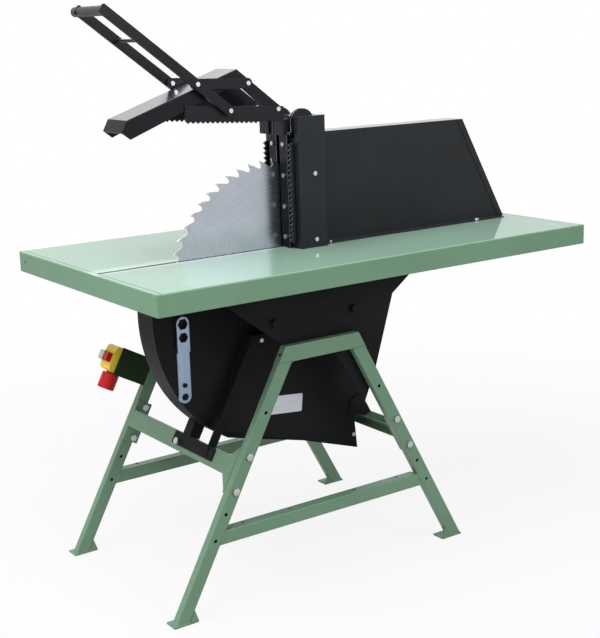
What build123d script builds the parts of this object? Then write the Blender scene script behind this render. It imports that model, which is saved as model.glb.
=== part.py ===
from build123d import *

import math
import os

os.makedirs("parts", exist_ok=True)

# All sizes are in millimetres and degrees. The origin is on the floor under the middle of the table, +X runs
# along the feed away from the operator, +Y to the far side and +Z up.

# Table
table_length = 1267.0
table_width = 705.0
table_height = 800.0
table_sheet = 4.0
skirt_depth = 50.0
front_lip = 11.5
rear_lip = 7.5
cap_seam = 0.8
slot_width = 14.0
cap_hole_r = 4.0
cap_hole_inset = 30.0
skirt_bend_r = 4.0

# Blade and arbor
blade_x = -145.0
blade_y = -59.0
blade_drop = 82.5
blade_r = 300.0
blade_thickness = 3.4
blade_teeth = 56
gullet_depth = 20.0
arbor_r = 15.0
arbor_collar_r = 20.0
flange_r = 55.0
flange_thickness = 12.0
nut_flats = 46.0
nut_height = 12.0
arbor_stub = 1.0
running_fit = 0.05
cut_over = 1.0

# Stand
stand_x = -150.0
near_frame_y = -260.0
far_frame_y = 260.0
tube_width = 34.0
tube_depth = 20.0
tube_wall = 2.5
tube_bend_r = 3.0
weld_seam = 0.1
leg_lean = 28.5
leg_spread = 417.0
top_beam_z = 607.0
top_beam_height = 39.0
stretcher_z = 169.0
stretcher_height = 33.0
stretcher_depth = 30.0
shoe_plate = 4.0
shoe_length = 64.0
shoe_depth = 38.0
shoe_gusset_height = 26.0
anchor_hole_r = 5.5
accessory_hole_r = 4.5
leg_hole_heights = (183.0, 240.0, 460.0)
stretcher_hole_offsets = (97.0, 232.0)

# Cross beams
cross_beam_z = 327.5
cross_beam_width = 45.0
cross_beam_lip = 20.0
front_beam_rise = 5.5
rear_beam_rise = -4.0
rear_beam_inset = 4.0
cross_beam_wall = 3.0
cross_flange_length = 110.0
cross_flange_sheet = 4.0
front_flare = 30.0
rear_flare = 45.0
cross_bolt_pitch = 85.0
far_bolt_inset = 9.0
far_flange_reach = 10.0

# Fasteners
bolt_r = 5.0
bolt_flats = 16.0
bolt_head = 6.5
bolt_nut = 8.0
screw_r = 4.0
screw_flats = 13.0
screw_head = 5.5
small_screw_r = 3.0
small_screw_flats = 10.0
small_screw_head = 4.0
small_screw_nut = 4.0
bolt_reach = 6.0
screw_reach = 4.0

# Side plates and the standoffs to the blade housing
side_plate = 4.0
side_plate_gap = 15.0
plate_screw_x = 60.0
plate_front = 333.0
plate_rear = 372.0
plate_tail_start = 45.0
plate_tail_at = ((118.0, -158.0), (139.0, -182.0), (172.0, -107.0))
plate_flare_at = ((229.0, 74.0), (281.0, 112.0))
standoff_r = 10.0
standoff_bolt_r = 6.0
knob_r = 10.0
knob_height = 12.0
knob_taper = 8.0
standoff_drop = 54.5
standoff_front = 130.0
standoff_rear = 99.0

# Blade housing and chute cover, with corners counted from the blade's axis
housing_half = 36.0
housing_wall = 3.0
housing_gap = 15.0
housing_front_r = 365.0
housing_front_drop = 40.0
housing_foot_at = (205.0, -455.5)
housing_heel_at = (205.0, -382.5)
housing_rear_at = (267.0, -268.5)
housing_back_at = (327.0, -76.5)
housing_back_reach = 335.0
housing_toe_angle = 61.0
arbor_hole_r = 25.0
cover_depth = 30.0
cover_sheet = 2.0
cover_corners = ((-113.0, -109.5), (165.0, -109.5), (197.0, -297.5), (185.0, -366.5), (194.0, -458.5),
                 (-228.0, -320.5))
cover_screws_at = ((-91.0, -123.5), (181.0, -419.5))

# Brackets that join the housing to the cross beams
bracket_sheet = 4.0
bracket_height = 32.0
bracket_near_reach = 58.0
bracket_far_reach = 55.0
bracket_bolt_inset = 24.0
bracket_bolt_drop = 24.0
bracket_gap = 0.1
arm_reach = 67.0
near_arm_depth = 23.0
near_arm_proud = 4.0
far_arm_inset = 34.0
far_arm_width = 31.0
far_arm_depth = 31.0
rear_arm_rise = 80.0
rear_arm_at = ((175.0, -325.0), (165.0, -360.0))

# Blade wrench
wrench_front = 292.0
wrench_drop = 247.5
wrench_length = 210.0
wrench_width = 33.0
wrench_sheet = 5.0
wrench_bend = 129.0
wrench_hexes = ((160.0, 22.0), (192.0, 24.0), (15.0, 17.0))
wrench_eye = 44.0
wrench_eye_r = 3.5

# Spindle
spindle_flange_r = 65.0
spindle_flange = 10.0
spindle_barrel_r = 40.0
spindle_barrel = 38.0
bearing_r = 31.0
bearing_width = 16.0
bearing_inset = 3.0
pulley_gap = 5.0
pulley_width = 35.0
arbor_pulley_r = 50.0

# Motor and belts
motor_shift = 15.0
motor_drop = 252.5
motor_pulley_r = 60.0
motor_plate = 8.0
motor_plate_gap = 9.0
motor_flange_r = 85.0
motor_flange = 10.0
motor_r = 74.0
motor_fin = 8.0
motor_fin_root = 2.0
motor_fins = 28
motor_fin_thickness = 4.0
motor_body_length = 143.0
fan_cover_r = 84.0
fan_cover_length = 52.0
fan_cover_wall = 2.0
fan_edge_r = 6.0
fan_hole_r = 4.0
fan_hole_rings = (25.0, 42.0, 59.0)
fan_ring_holes = 12
motor_shaft_r = 14.0
motor_shaft_depth = 67.0
shaft_hole_gap = 2.0
shaft_end_gap = 1.0
motor_post_r = 8.0
motor_post_drop = 80.0
motor_post_offset = 85.0
terminal_box = (80.0, 70.0, 42.0)
terminal_corner_r = 6.0
gland_r = 9.0
gland_length = 18.0
belt_width = 12.0
belt_height = 9.5
belt_pitch = 17.0
belt_gap = 0.3

# Table rollers and rails
roller_r = 26.0
roller_width = 16.0
roller_gap = 0.3
roller_edge_r = 1.5
axle_r = 8.0
axle_flats = 24.0
axle_collar_r = 12.0
axle_stub = 2.0
roller_front = 265.0
roller_rear = 300.0
roller_stand_off = 11.0
rail_height = 62.0
rail_width = 36.0
rail_sheet = 4.0
rail_front_inset = 153.5
rail_rear_inset = 113.5
rail_stand_off = 7.0

# Switch on the far front leg
switch_z = 480.0
switch_sheet = 3.0
switch_arm = 113.0
switch_top = -5.0
switch_height = 74.0
switch_depth = 53.0
switch_case = 50.0
switch_proud = 17.0
switch_corner_r = 12.0
switch_lip = 2.0
switch_foot_lip = 4.0
button_length = 24.0
button_width = 20.0
button_rise = 16.0
button_seat = 11.0
button_travel = 5.0
button_corner_r = 2.0
button_gap = 0.3
button_pitch = 24.0
panel_border = 4.0
mushroom_r = 22.5
mushroom_height = 42.0
mushroom_edge_r = 3.0
mushroom_stem_r = 14.0
mushroom_stem = 16.0
mushroom_travel = 4.5
mushroom_back = 9.0

# Column
column_shift = 34.0
column_depth = 79.0
column_half = 71.0
column_slot_half = 7.5
column_height = 318.0
column_wall = 3.0
column_bend_r = 3.0
column_screws = (20.0, 180.0)
column_screw_shift = 4.0

# Guide bars and toothed strips on the column
guide_inner = 7.5
guide_width = 30.5
guide_thickness = 6.0
guide_spacer = 6.0
guide_spacer_width = 12.0
guide_length = 312.0
guide_foot = 2.0
guide_bolts = (27.0, 101.0, 176.0, 251.0)
strip_inner = 48.0
strip_thickness = 6.0
strip_depth = 20.0
strip_foot = 15.0
strip_pitch = 12.0
strip_teeth = 20
strip_tooth = 7.0
strip_tooth_rise = 7.2

# Hood
hood_half = 29.0
hood_sheet = 2.0
hood_height = 274.0
hood_top_length = 478.0
hood_foot_length = 628.0
hood_flange = 25.0
hood_flange_end = 16.0
hood_screws = (27.0, 522.0)
rear_cover_sheet = 1.5
rear_cover_lip = 18.0

# Hold-down arm, with the guard's corners counted from its pivot
arm_shift = 6.5
pivot_front = 38.0
pivot_height = 337.5
pivot_rise = 1.8
pivot_pitch = 140.0
crank_length = 106.0
handle_angle = 142.8
layer_gap = 0.5
beam_web = 4.0
beam_height = 39.5
beam_length = 251.0
beam_tilt = 3.4
beam_top = 6.5
beam_tooth_pitch = 13.0
beam_teeth = 16
beam_tooth = 5.0
beam_end_sheet = 4.0
beam_end_inner = 12.0
guard_half = 45.5
guard_wall = 3.0
guard_bend_r = 2.5
guard_lug_r = 11.0
nose_top_at = (-397.0, -1.5)
nose_low_at = (-411.0, -27.5)
nose_heel_at = (-390.0, -43.5)
apex_at = (-108.0, 96.5)
inner_front_at = (-151.0, 47.5)
inner_top_at = (-103.0, 58.5)
inner_rear_at = (-47.0, 12.5)
lining_half = 21.5
lining_sheet = 2.0
lining_front = 290.0
lining_foot = 6.0
lining_top_at = (-105.0, 77.0)
lining_rear_at = (-47.0, 31.0)
handle_bar = 5.0
handle_width = 23.0
handle_length = 378.0
handle_gap = 3.0
handle_corner_r = 4.0
grip_r = 11.0
grip_overhang = 20.0
cross_rod_r = 4.0
cross_rod_at = 271.0
link_bar = 4.0
link_width = 24.0
bush_r = 6.5

# Guide shoes, cables, pulleys and counterweights
slide_gap = 0.3
shoe_height = 38.0
shoe_back_gap = 1.0
shoe_top_drop = 6.0
guide_shoe_inner = 5.2
guide_shoe_wall = 2.7
guide_shoe_front = 9.7
head_relief_half = 8.0
head_relief = 6.2
lug_height = 6.0
lug_reach = 6.6
lug_front = 5.0
lug_back = 1.8
cable_r = 1.5
cable_half = 46.0
cable_front = 5.0
cable_gap = 0.3
rope_groove_r = 30.0
rope_flange_r = 34.0
rope_pulley_width = 9.0
rope_groove_width = 4.0
rope_axle_r = 5.0
rope_axle_drop = 17.0
weight_width = 34.0
weight_depth = 30.0
weight_height = 58.0
weight_foot = 6.0
pocket_gap = 2.0

# Places worked out from the sizes above
table_under = table_height - table_sheet
front_x = -table_length / 2
rear_x = table_length / 2
near_y = -table_width / 2
far_y = table_width / 2
blade_z = table_height - blade_drop
lean_sin = math.sin(math.radians(leg_lean))
lean_cos = math.cos(math.radians(leg_lean))
lean_tan = math.tan(math.radians(leg_lean))
leg_half_width = tube_width / 2 / lean_cos
top_beam_foot = top_beam_z - top_beam_height
near_plate_y = near_frame_y + tube_depth
far_plate_y = far_frame_y - side_plate
pivot_x = blade_x + column_shift - pivot_front
pivot_z = table_height + pivot_height
column_front = blade_x + column_shift
column_rear = column_front + column_depth
motor_x = blade_x + motor_shift
motor_z = blade_z - motor_drop
wrench_x = blade_x - wrench_front
wrench_foot = blade_z - wrench_drop
plate_top = table_height - side_plate_gap
housing_top = table_height - housing_gap
housing_near = blade_y - housing_half
housing_far = blade_y + housing_half
blade_plane = Plane.XZ.offset(-blade_y)
arm_y = blade_y + arm_shift
arm_middle = Plane.XZ.offset(-arm_y)


def upright(y):
    """The plane at this depth in which X runs right and Z up, facing the operator's near side."""
    return Plane.XZ.offset(-y)


def near(half):
    """The upright plane this far from the blade's own plane, towards the near side."""
    return Plane.XZ.offset(half - blade_y)


def arm_side(half):
    """The upright plane this far from the hold-down arm's middle plane, towards the near side."""
    return Plane.XZ.offset(half - arm_y)


def from_blade(place):
    """A place counted from the blade's axis, in the part's own frame."""
    return (blade_x + place[0], blade_z + place[1])


def leg_half(z):
    """Half the distance between the legs' centre lines at this height."""
    return leg_spread - z * lean_tan


def leg_point(side, z, along, out):
    """A point on a leg, counted from its centre line at this height: up the leg and out from it."""
    x = stand_x + side * (leg_half(z) - along * lean_sin + out * lean_cos)
    return (x, z + along * lean_cos + out * lean_sin)


def leg_plane(side, z, along, out, y):
    """The plane that faces outwards from a leg at such a point."""
    x, height = leg_point(side, z, along, out)
    return Plane(origin=(x, y, height), x_dir=(0, 1, 0), z_dir=(side * lean_cos, 0, lean_sin))


def leg_band(side, low, high, wall):
    """The outline of a leg between two heights, with its long sides moved in by a wall."""
    half = leg_half_width - wall / lean_cos
    corners = []
    for height, edge in ((low, -half), (low, half), (high, half), (high, -half)):
        corners.append((stand_x + side * (leg_half(height) + edge), height))
    return corners


def fastener(plane, flats, head, shank_r, shank, nut=0.0):
    """A hex bolt whose head sits on the plane and whose shank runs the other way, with any nut after it."""
    with BuildPart() as bolt:
        with BuildSketch(plane):
            RegularPolygon(flats / 2, 6, major_radius=False)
        extrude(amount=head)
        with BuildSketch(plane):
            Circle(shank_r)
        extrude(amount=-shank - nut)
        if nut > 0:
            with BuildSketch(plane.offset(-shank)):
                RegularPolygon(flats / 2, 6, major_radius=False)
            extrude(amount=-nut)
    return bolt.part


def small_screw(plane, shank, nut=0.0):
    """One of the small screws above the table, with any nut after its shank."""
    return fastener(plane, small_screw_flats, small_screw_head, small_screw_r, shank, nut)


# Bolt places that several pieces share
near_bolts = []
far_bolts = []
for side in (-1, 1):
    for along in (-cross_bolt_pitch / 2, cross_bolt_pitch / 2):
        near_bolts.append(leg_point(side, cross_beam_z, along, 0))
        far_bolts.append(leg_point(side, cross_beam_z, along, -far_bolt_inset))
standoffs = [from_blade((-standoff_front, -standoff_drop)), from_blade((standoff_rear, -standoff_drop))]
cover_screws = [from_blade(place) for place in cover_screws_at]
plate_screws = [(stand_x - plate_screw_x, (top_beam_foot + top_beam_z) / 2),
                (stand_x + plate_screw_x, (top_beam_foot + top_beam_z) / 2)]
wrench_stud = (wrench_x, wrench_foot + wrench_eye)
roller_z = table_under - rail_sheet - roller_gap - roller_r
roller_places = [(stand_x - roller_front, roller_z), (stand_x + roller_rear, roller_z)]


def a_frame(face_y, bolt_places, screw_wall):
    """One side frame: two legs, top beam, stretcher and floor shoes, with its bolt holes."""
    back = face_y + tube_depth
    stretcher_top = stretcher_z + stretcher_height
    holes = []
    for side in (-1, 1):
        for height in leg_hole_heights:
            holes.append((leg_point(side, height, 0, 0), accessory_hole_r))
    for place in bolt_places:
        holes.append((place, bolt_r + running_fit))
    with BuildPart() as frame:
        for side in (-1, 1):
            # The leg is a flat tube between its shoe and the top beam
            with BuildSketch(upright(back)):
                Polygon(*leg_band(side, shoe_plate + weld_seam, top_beam_foot - weld_seam, 0), align=None)
            extrude(amount=tube_depth)
            leg_line = Axis((0, 0, 0), (-side * lean_sin, 0, lean_cos))
            fillet(frame.edges().filter_by(leg_line), radius=tube_bend_r)
            with BuildSketch(upright(back - tube_wall)):
                Polygon(*leg_band(side, 0, top_beam_z, tube_wall), align=None)
            extrude(amount=tube_depth - 2 * tube_wall, mode=Mode.SUBTRACT)
            # The floor shoe is a plate with an anchor hole and a gusset against the leg's inner edge
            toe = stand_x + side * (leg_half(0) + leg_half_width)
            heel = toe - side * shoe_length
            with BuildSketch(Plane.XY):
                Polygon((toe, face_y), (heel, face_y), (heel, face_y + shoe_depth),
                        (toe, face_y + shoe_depth), align=None)
                with Locations(((toe + heel) / 2, (back + face_y + shoe_depth) / 2)):
                    Circle(anchor_hole_r, mode=Mode.SUBTRACT)
            extrude(amount=shoe_plate)
            inner_low = stand_x + side * (leg_half(shoe_plate) - leg_half_width - weld_seam)
            inner_high = inner_low - side * shoe_gusset_height * lean_tan
            with BuildSketch(upright(face_y + tube_wall)):
                Polygon((inner_low, shoe_plate), (heel, shoe_plate),
                        (inner_high, shoe_plate + shoe_gusset_height), align=None)
            extrude(amount=tube_wall)
        with BuildSketch(upright(back)):
            for place, radius in holes:
                with Locations(place):
                    Circle(radius)
        extrude(amount=tube_depth, mode=Mode.SUBTRACT)
        # The top beam has its ends cut to the legs' lean
        corners = []
        for side in (-1, 1):
            for height in (top_beam_foot, top_beam_z)[::side]:
                corners.append((stand_x + side * (leg_half(height) + leg_half_width), height))
        with BuildSketch(upright(back)):
            Polygon(*corners, align=None)
        extrude(amount=tube_depth)
        beam_edges = frame.edges().filter_by(Axis.X).filter_by_position(Axis.Z, top_beam_foot, top_beam_z)
        fillet(beam_edges, radius=tube_bend_r)
        with BuildSketch(upright(back - tube_wall)):
            Polygon(*corners, align=None)
            offset(amount=-tube_wall, kind=Kind.INTERSECTION)
        extrude(amount=tube_depth - 2 * tube_wall, mode=Mode.SUBTRACT)
        # Each end of the top beam has a hole in its middle
        with BuildSketch(Plane.YZ.offset(stand_x)):
            with Locations((back - tube_depth / 2, top_beam_z - top_beam_height / 2)):
                Circle(accessory_hole_r)
        extrude(amount=leg_half(top_beam_foot) + leg_half_width, both=True, mode=Mode.SUBTRACT)
        with BuildSketch(upright(screw_wall)):
            with Locations(*plate_screws):
                Circle(screw_r + running_fit)
        extrude(amount=tube_wall, mode=Mode.SUBTRACT)
        # The stretcher runs between the legs' inner edges
        corners = []
        for side in (-1, 1):
            for height in (stretcher_z, stretcher_top)[::side]:
                corners.append((stand_x + side * (leg_half(height) - leg_half_width - weld_seam), height))
        with BuildSketch(upright(face_y + stretcher_depth)):
            Polygon(*corners, align=None)
        extrude(amount=stretcher_depth)
        level_edges = frame.edges().filter_by(Axis.X)
        fillet(level_edges.filter_by_position(Axis.Z, stretcher_z, stretcher_top), radius=tube_bend_r)
        with BuildSketch(upright(face_y + stretcher_depth - tube_wall)):
            Polygon(*corners, align=None)
            offset(amount=-tube_wall, kind=Kind.INTERSECTION)
        extrude(amount=stretcher_depth - 2 * tube_wall, mode=Mode.SUBTRACT)
        with BuildSketch(Plane.XY.offset(stretcher_top)):
            for shift in stretcher_hole_offsets:
                for way in (-1, 1):
                    with Locations((stand_x + way * shift, face_y + tube_depth)):
                        Circle(accessory_hole_r)
        extrude(amount=-tube_wall, mode=Mode.SUBTRACT)
    return frame.part


near_frame = a_frame(near_frame_y, near_bolts, near_plate_y)
near_frame.label = "near_frame"
export_step(near_frame, "parts/near_frame.step")
far_frame = a_frame(far_frame_y, far_bolts, far_frame_y + tube_wall)
far_frame.label = "far_frame"
export_step(far_frame, "parts/far_frame.step")


def lean_outline(side, corners):
    """An outline whose corners are counted up a leg from the cross beam's height, and out from the leg."""
    return [leg_point(side, cross_beam_z, along, out) for along, out in corners]


def cross_beam(side, rise, outer, flare, bolt_places):
    """A channel between the two frames, flared at its near end, with a bolted flange at each end."""
    start = near_frame_y + tube_depth
    end = far_frame_y
    flare_end = start + flare
    low = rise - cross_beam_width / 2
    high = rise + cross_beam_width / 2
    inner = outer - cross_beam_lip
    flange_half = cross_flange_length / 2
    leg_face = tube_width / 2
    web = [(start, flange_half), (flare_end, high), (end, high), (end, low), (flare_end, low),
           (start, -flange_half)]
    with BuildPart() as beam:
        with BuildSketch(leg_plane(side, cross_beam_z, 0, outer, 0)):
            Polygon(*[(y, side * along) for y, along in web], align=None)
            for y, along in bolt_places:
                with Locations((y, side * along)):
                    Circle(bolt_r + running_fit, mode=Mode.SUBTRACT)
        extrude(amount=-cross_beam_wall)
        for edge, inside in ((low, low + cross_beam_wall), (high, high - cross_beam_wall)):
            with BuildSketch(upright(end)):
                Polygon(*lean_outline(side, [(edge, outer), (inside, outer), (inside, inner), (edge, inner)]),
                        align=None)
            extrude(amount=end - start)
        for face, reach, places in ((start + cross_flange_sheet, leg_face, near_bolts),
                                    (end, leg_face + far_flange_reach, far_bolts)):
            flange = [(-flange_half, leg_face), (flange_half, leg_face), (flange_half, -reach),
                      (-flange_half, -reach)]
            with BuildSketch(upright(face)):
                Polygon(*lean_outline(side, flange), align=None)
                with Locations(*places):
                    Circle(bolt_r + running_fit, mode=Mode.SUBTRACT)
            extrude(amount=cross_flange_sheet)
    return beam.part


beam_face = tube_width / 2
front_top = front_beam_rise + cross_beam_width / 2
rear_top = rear_beam_rise + cross_beam_width / 2
rear_face = beam_face - rear_beam_inset
bracket_near = housing_near - bracket_near_reach
bracket_far = housing_far + bracket_far_reach
bracket_bolt = (bracket_far - bracket_bolt_inset, front_top - bracket_bolt_drop)
front_cross_beam = cross_beam(-1, front_beam_rise, beam_face, front_flare, [bracket_bolt])
front_cross_beam.label = "front_cross_beam"
export_step(front_cross_beam, "parts/front_cross_beam.step")
rear_cross_beam = cross_beam(1, rear_beam_rise, rear_face, rear_flare, [])
rear_cross_beam.label = "rear_cross_beam"
export_step(rear_cross_beam, "parts/rear_cross_beam.step")

# Bolts through the legs and cross beams
frame_bolt_list = []
for head_y, bolt_places in ((near_frame_y, near_bolts), (far_frame_y - cross_flange_sheet, far_bolts)):
    for x, z in bolt_places:
        head_plane = Plane(origin=(x, head_y, z), x_dir=(1, 0, 0), z_dir=(0, -1, 0))
        grip = tube_depth + cross_flange_sheet
        frame_bolt_list.append(fastener(head_plane, bolt_flats, bolt_head, bolt_r, grip, bolt_nut))
with BuildPart() as frame_bolts:
    add(frame_bolt_list)
frame_bolts.part.label = "frame_bolts"
export_step(frame_bolts.part, "parts/frame_bolts.step")

# Side plates: they stand on the frames and carry the table's rollers
plate_left_foot = leg_point(-1, top_beam_z, 0, tube_width / 2)[0]
plate_right_foot = leg_point(1, top_beam_z, 0, tube_width / 2)[0]
plate_seat = top_beam_foot + tube_wall
plate_crown = [(stand_x - plate_front, plate_top), (plate_left_foot, top_beam_z),
               (plate_left_foot, plate_seat)]
plate_square = [(plate_right_foot, plate_seat), (plate_right_foot, top_beam_z)]
plate_tail = [(stand_x + x, top_beam_z + z) for x, z in plate_tail_at]
plate_flare = [(stand_x + x, top_beam_z + z) for x, z in plate_flare_at]
plate_flare.append((stand_x + plate_rear, plate_top))
tail_start = [(stand_x + plate_tail_start, plate_seat)]


def side_sheet(face_y, outline):
    """A side plate with its holes for the roller axles and the standoff bolts."""
    with BuildPart() as plate:
        with BuildSketch(upright(face_y + side_plate)):
            Polygon(*outline, align=None)
            with Locations(*roller_places):
                Circle(axle_r + running_fit, mode=Mode.SUBTRACT)
            with Locations(*standoffs):
                Circle(standoff_bolt_r + running_fit, mode=Mode.SUBTRACT)
            with Locations(*plate_screws):
                Circle(screw_r + running_fit, mode=Mode.SUBTRACT)
        extrude(amount=side_plate)
    return plate.part


near_sheet = side_sheet(near_plate_y, plate_crown + tail_start + plate_tail + plate_flare)
far_sheet = side_sheet(far_plate_y, plate_crown + plate_square + plate_flare)
with BuildPart() as side_plates:
    add([near_sheet, far_sheet])
side_plates.part.label = "side_plates"
export_step(side_plates.part, "parts/side_plates.step")

# Standoffs with knob heads hold the blade housing between the side plates, and a stud holds the wrench
standoff_list = []
for x, z in standoffs:
    for outer_y, inner_y, wall_y, way in ((near_plate_y, near_plate_y + side_plate, housing_near, 1),
                                          (far_plate_y + side_plate, far_plate_y, housing_far, -1)):
        with BuildPart() as rod:
            with BuildSketch(Plane(origin=(x, wall_y, z), x_dir=(1, 0, 0), z_dir=(0, -way, 0))):
                Circle(standoff_r)
            extrude(amount=abs(wall_y - inner_y))
            with BuildSketch(Plane(origin=(x, inner_y, z), x_dir=(1, 0, 0), z_dir=(0, -way, 0))):
                Circle(standoff_bolt_r)
            extrude(amount=side_plate)
            with BuildSketch(Plane(origin=(x, outer_y, z), x_dir=(1, 0, 0), z_dir=(0, -way, 0))):
                Circle(knob_r)
            extrude(amount=knob_height, taper=knob_taper)
        standoff_list.append(rod.part)
stud_plane = Plane(origin=(wrench_stud[0], housing_near - wrench_sheet - running_fit, wrench_stud[1]),
                   x_dir=(1, 0, 0), z_dir=(0, -1, 0))
standoff_list.append(small_screw(stud_plane, wrench_sheet + running_fit + housing_wall + screw_reach))
with BuildPart() as plate_standoffs:
    add(standoff_list)
plate_standoffs.part.label = "plate_standoffs"
export_step(plate_standoffs.part, "parts/plate_standoffs.step")

# The blade housing's outline: upright front, round toe, sloping floor, open heel and stepped back
front_edge = blade_x - housing_front_r
housing_front_z = blade_z - housing_front_drop
housing_foot = from_blade(housing_foot_at)
housing_heel = from_blade(housing_heel_at)
housing_rear = from_blade(housing_rear_at)
housing_back = from_blade(housing_back_at)
housing_back_top = blade_x + housing_back_reach


def toe_point(turn):
    """A point on the housing's round front, this many degrees down from its foremost point."""
    angle = math.radians(turn)
    return (blade_x - housing_front_r * math.cos(angle), housing_front_z - housing_front_r * math.sin(angle))


toe = toe_point(housing_toe_angle)
toe_mid = toe_point(housing_toe_angle / 2)
with BuildSketch() as housing_outline:
    with BuildLine():
        Line((front_edge, housing_top), (front_edge, housing_front_z))
        ThreePointArc((front_edge, housing_front_z), toe_mid, toe)
        Polyline(toe, housing_foot, housing_heel, housing_rear, housing_back, (housing_back_top, housing_top),
                 (front_edge, housing_top))
    make_face()
with BuildSketch() as housing_inside:
    add(housing_outline.sketch)
    offset(amount=-housing_wall, kind=Kind.INTERSECTION)
with BuildPart() as blade_housing:
    with BuildSketch(upright(housing_far)):
        add(housing_outline.sketch)
    extrude(amount=2 * housing_half)
    with BuildSketch(upright(housing_far - housing_wall)):
        add(housing_inside.sketch)
    extrude(amount=2 * (housing_half - housing_wall), mode=Mode.SUBTRACT)
    # The top is open to the table's slot and the heel is open for the chips
    with BuildSketch(upright(housing_far - housing_wall)):
        with Locations(((front_edge + housing_back_top) / 2, housing_top)):
            Rectangle(housing_back_top - front_edge - 4 * housing_wall, 4 * housing_wall)
        with Locations((housing_foot[0], (housing_foot[1] + housing_heel[1]) / 2)):
            Rectangle(4 * housing_wall, housing_heel[1] - housing_foot[1] - 6 * housing_wall)
    extrude(amount=2 * (housing_half - housing_wall), mode=Mode.SUBTRACT)
    with BuildSketch(upright(housing_far)):
        with Locations((blade_x, blade_z)):
            Circle(arbor_hole_r)
    extrude(amount=housing_wall, mode=Mode.SUBTRACT)
    with BuildSketch(upright(housing_near + housing_wall)):
        with Locations(*cover_screws, wrench_stud):
            Circle(small_screw_r + running_fit)
    extrude(amount=housing_wall, mode=Mode.SUBTRACT)
blade_housing.part.label = "blade_housing"
export_step(blade_housing.part, "parts/blade_housing.step")

# The chute cover is a shallow tray on the housing's near wall
cover_outline = [from_blade(place) for place in cover_corners]
cover_front = housing_near - cover_depth
with BuildPart() as chute_cover:
    with BuildSketch(upright(housing_near)):
        Polygon(*cover_outline, align=None)
    extrude(amount=cover_depth)
    with BuildSketch(upright(housing_near)):
        Polygon(*cover_outline, align=None)
        offset(amount=-cover_sheet, kind=Kind.INTERSECTION)
    extrude(amount=cover_depth - cover_sheet, mode=Mode.SUBTRACT)
    with BuildSketch(upright(housing_near)):
        with Locations(*cover_screws):
            Circle(small_screw_r + running_fit)
    extrude(amount=cover_depth, mode=Mode.SUBTRACT)
chute_cover.part.label = "chute_cover"
export_step(chute_cover.part, "parts/chute_cover.step")


# The front bracket is a plate on the beam, with an angle under the housing and a bar on the chute cover
bracket_face = beam_face + bracket_sheet
bracket_low = front_top - bracket_height
arm_foot = front_top + bracket_gap
arm_top = front_top + arm_reach
far_arm_far = bracket_far - far_arm_inset
far_arm_near = far_arm_far - far_arm_width
far_arm_back = bracket_face - far_arm_depth
near_arm_front = bracket_face + near_arm_proud
near_arm_back = near_arm_front - near_arm_depth
near_arm_far = cover_front - bracket_gap
with BuildPart() as front_bracket:
    with BuildSketch(upright(bracket_far)):
        Polygon(*lean_outline(-1, [(bracket_low, beam_face), (front_top, beam_face),
                                   (front_top, bracket_face), (bracket_low, bracket_face)]), align=None)
    extrude(amount=bracket_far - bracket_near)
    with BuildSketch(upright(far_arm_far)):
        Polygon(*lean_outline(-1, [(bracket_low, beam_face), (arm_top, beam_face), (arm_top, bracket_face),
                                   (bracket_low, bracket_face)]), align=None)
    extrude(amount=far_arm_width)
    with BuildSketch(upright(far_arm_near + bracket_sheet)):
        Polygon(*lean_outline(-1, [(arm_foot, far_arm_back), (arm_top, far_arm_back),
                                   (arm_top, bracket_face), (arm_foot, bracket_face)]), align=None)
    extrude(amount=bracket_sheet)
    with BuildSketch(upright(near_arm_far)):
        Polygon(*lean_outline(-1, [(bracket_low, beam_face), (bracket_low, bracket_face),
                                   (arm_foot, near_arm_front), (arm_top, near_arm_front),
                                   (arm_top, near_arm_back), (arm_foot, near_arm_back),
                                   (arm_foot, beam_face)]), align=None)
    extrude(amount=bracket_sheet)
    with BuildSketch(upright(housing_far + bracket_gap)):
        add(housing_outline.sketch)
        offset(amount=bracket_gap, kind=Kind.INTERSECTION)
    extrude(amount=2 * (housing_half + bracket_gap), mode=Mode.SUBTRACT)
    with BuildSketch(leg_plane(-1, cross_beam_z, bracket_bolt[1], beam_face, bracket_bolt[0])):
        Circle(bolt_r + running_fit)
    extrude(amount=bracket_sheet, mode=Mode.SUBTRACT)

# The rear bracket is a foot on the rear beam's lip, with an arm on the chute cover and one on the far wall
lip_face = rear_face - cross_beam_lip
rear_seat = rear_top + bracket_gap
foot_top = rear_seat + bracket_sheet
rear_arm = lean_outline(1, [(rear_seat, lip_face), (rear_seat, rear_face), (rear_arm_rise, rear_face)])
rear_arm = rear_arm + [from_blade(place) for place in rear_arm_at]
rear_arm_faces = (near_arm_far, housing_far + bracket_gap + bracket_sheet)
with BuildPart() as rear_bracket:
    with BuildSketch(upright(rear_arm_faces[1])):
        Polygon(*lean_outline(1, [(rear_seat, lip_face), (rear_seat, rear_face), (foot_top, rear_face),
                                  (foot_top, lip_face)]), align=None)
    extrude(amount=rear_arm_faces[1] - rear_arm_faces[0] + bracket_sheet)
    for far_face in rear_arm_faces:
        with BuildSketch(upright(far_face)):
            Polygon(*rear_arm, align=None)
        extrude(amount=bracket_sheet)
with BuildPart() as housing_brackets:
    add([front_bracket.part, rear_bracket.part])
housing_brackets.part.label = "housing_brackets"
export_step(housing_brackets.part, "parts/housing_brackets.step")

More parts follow.
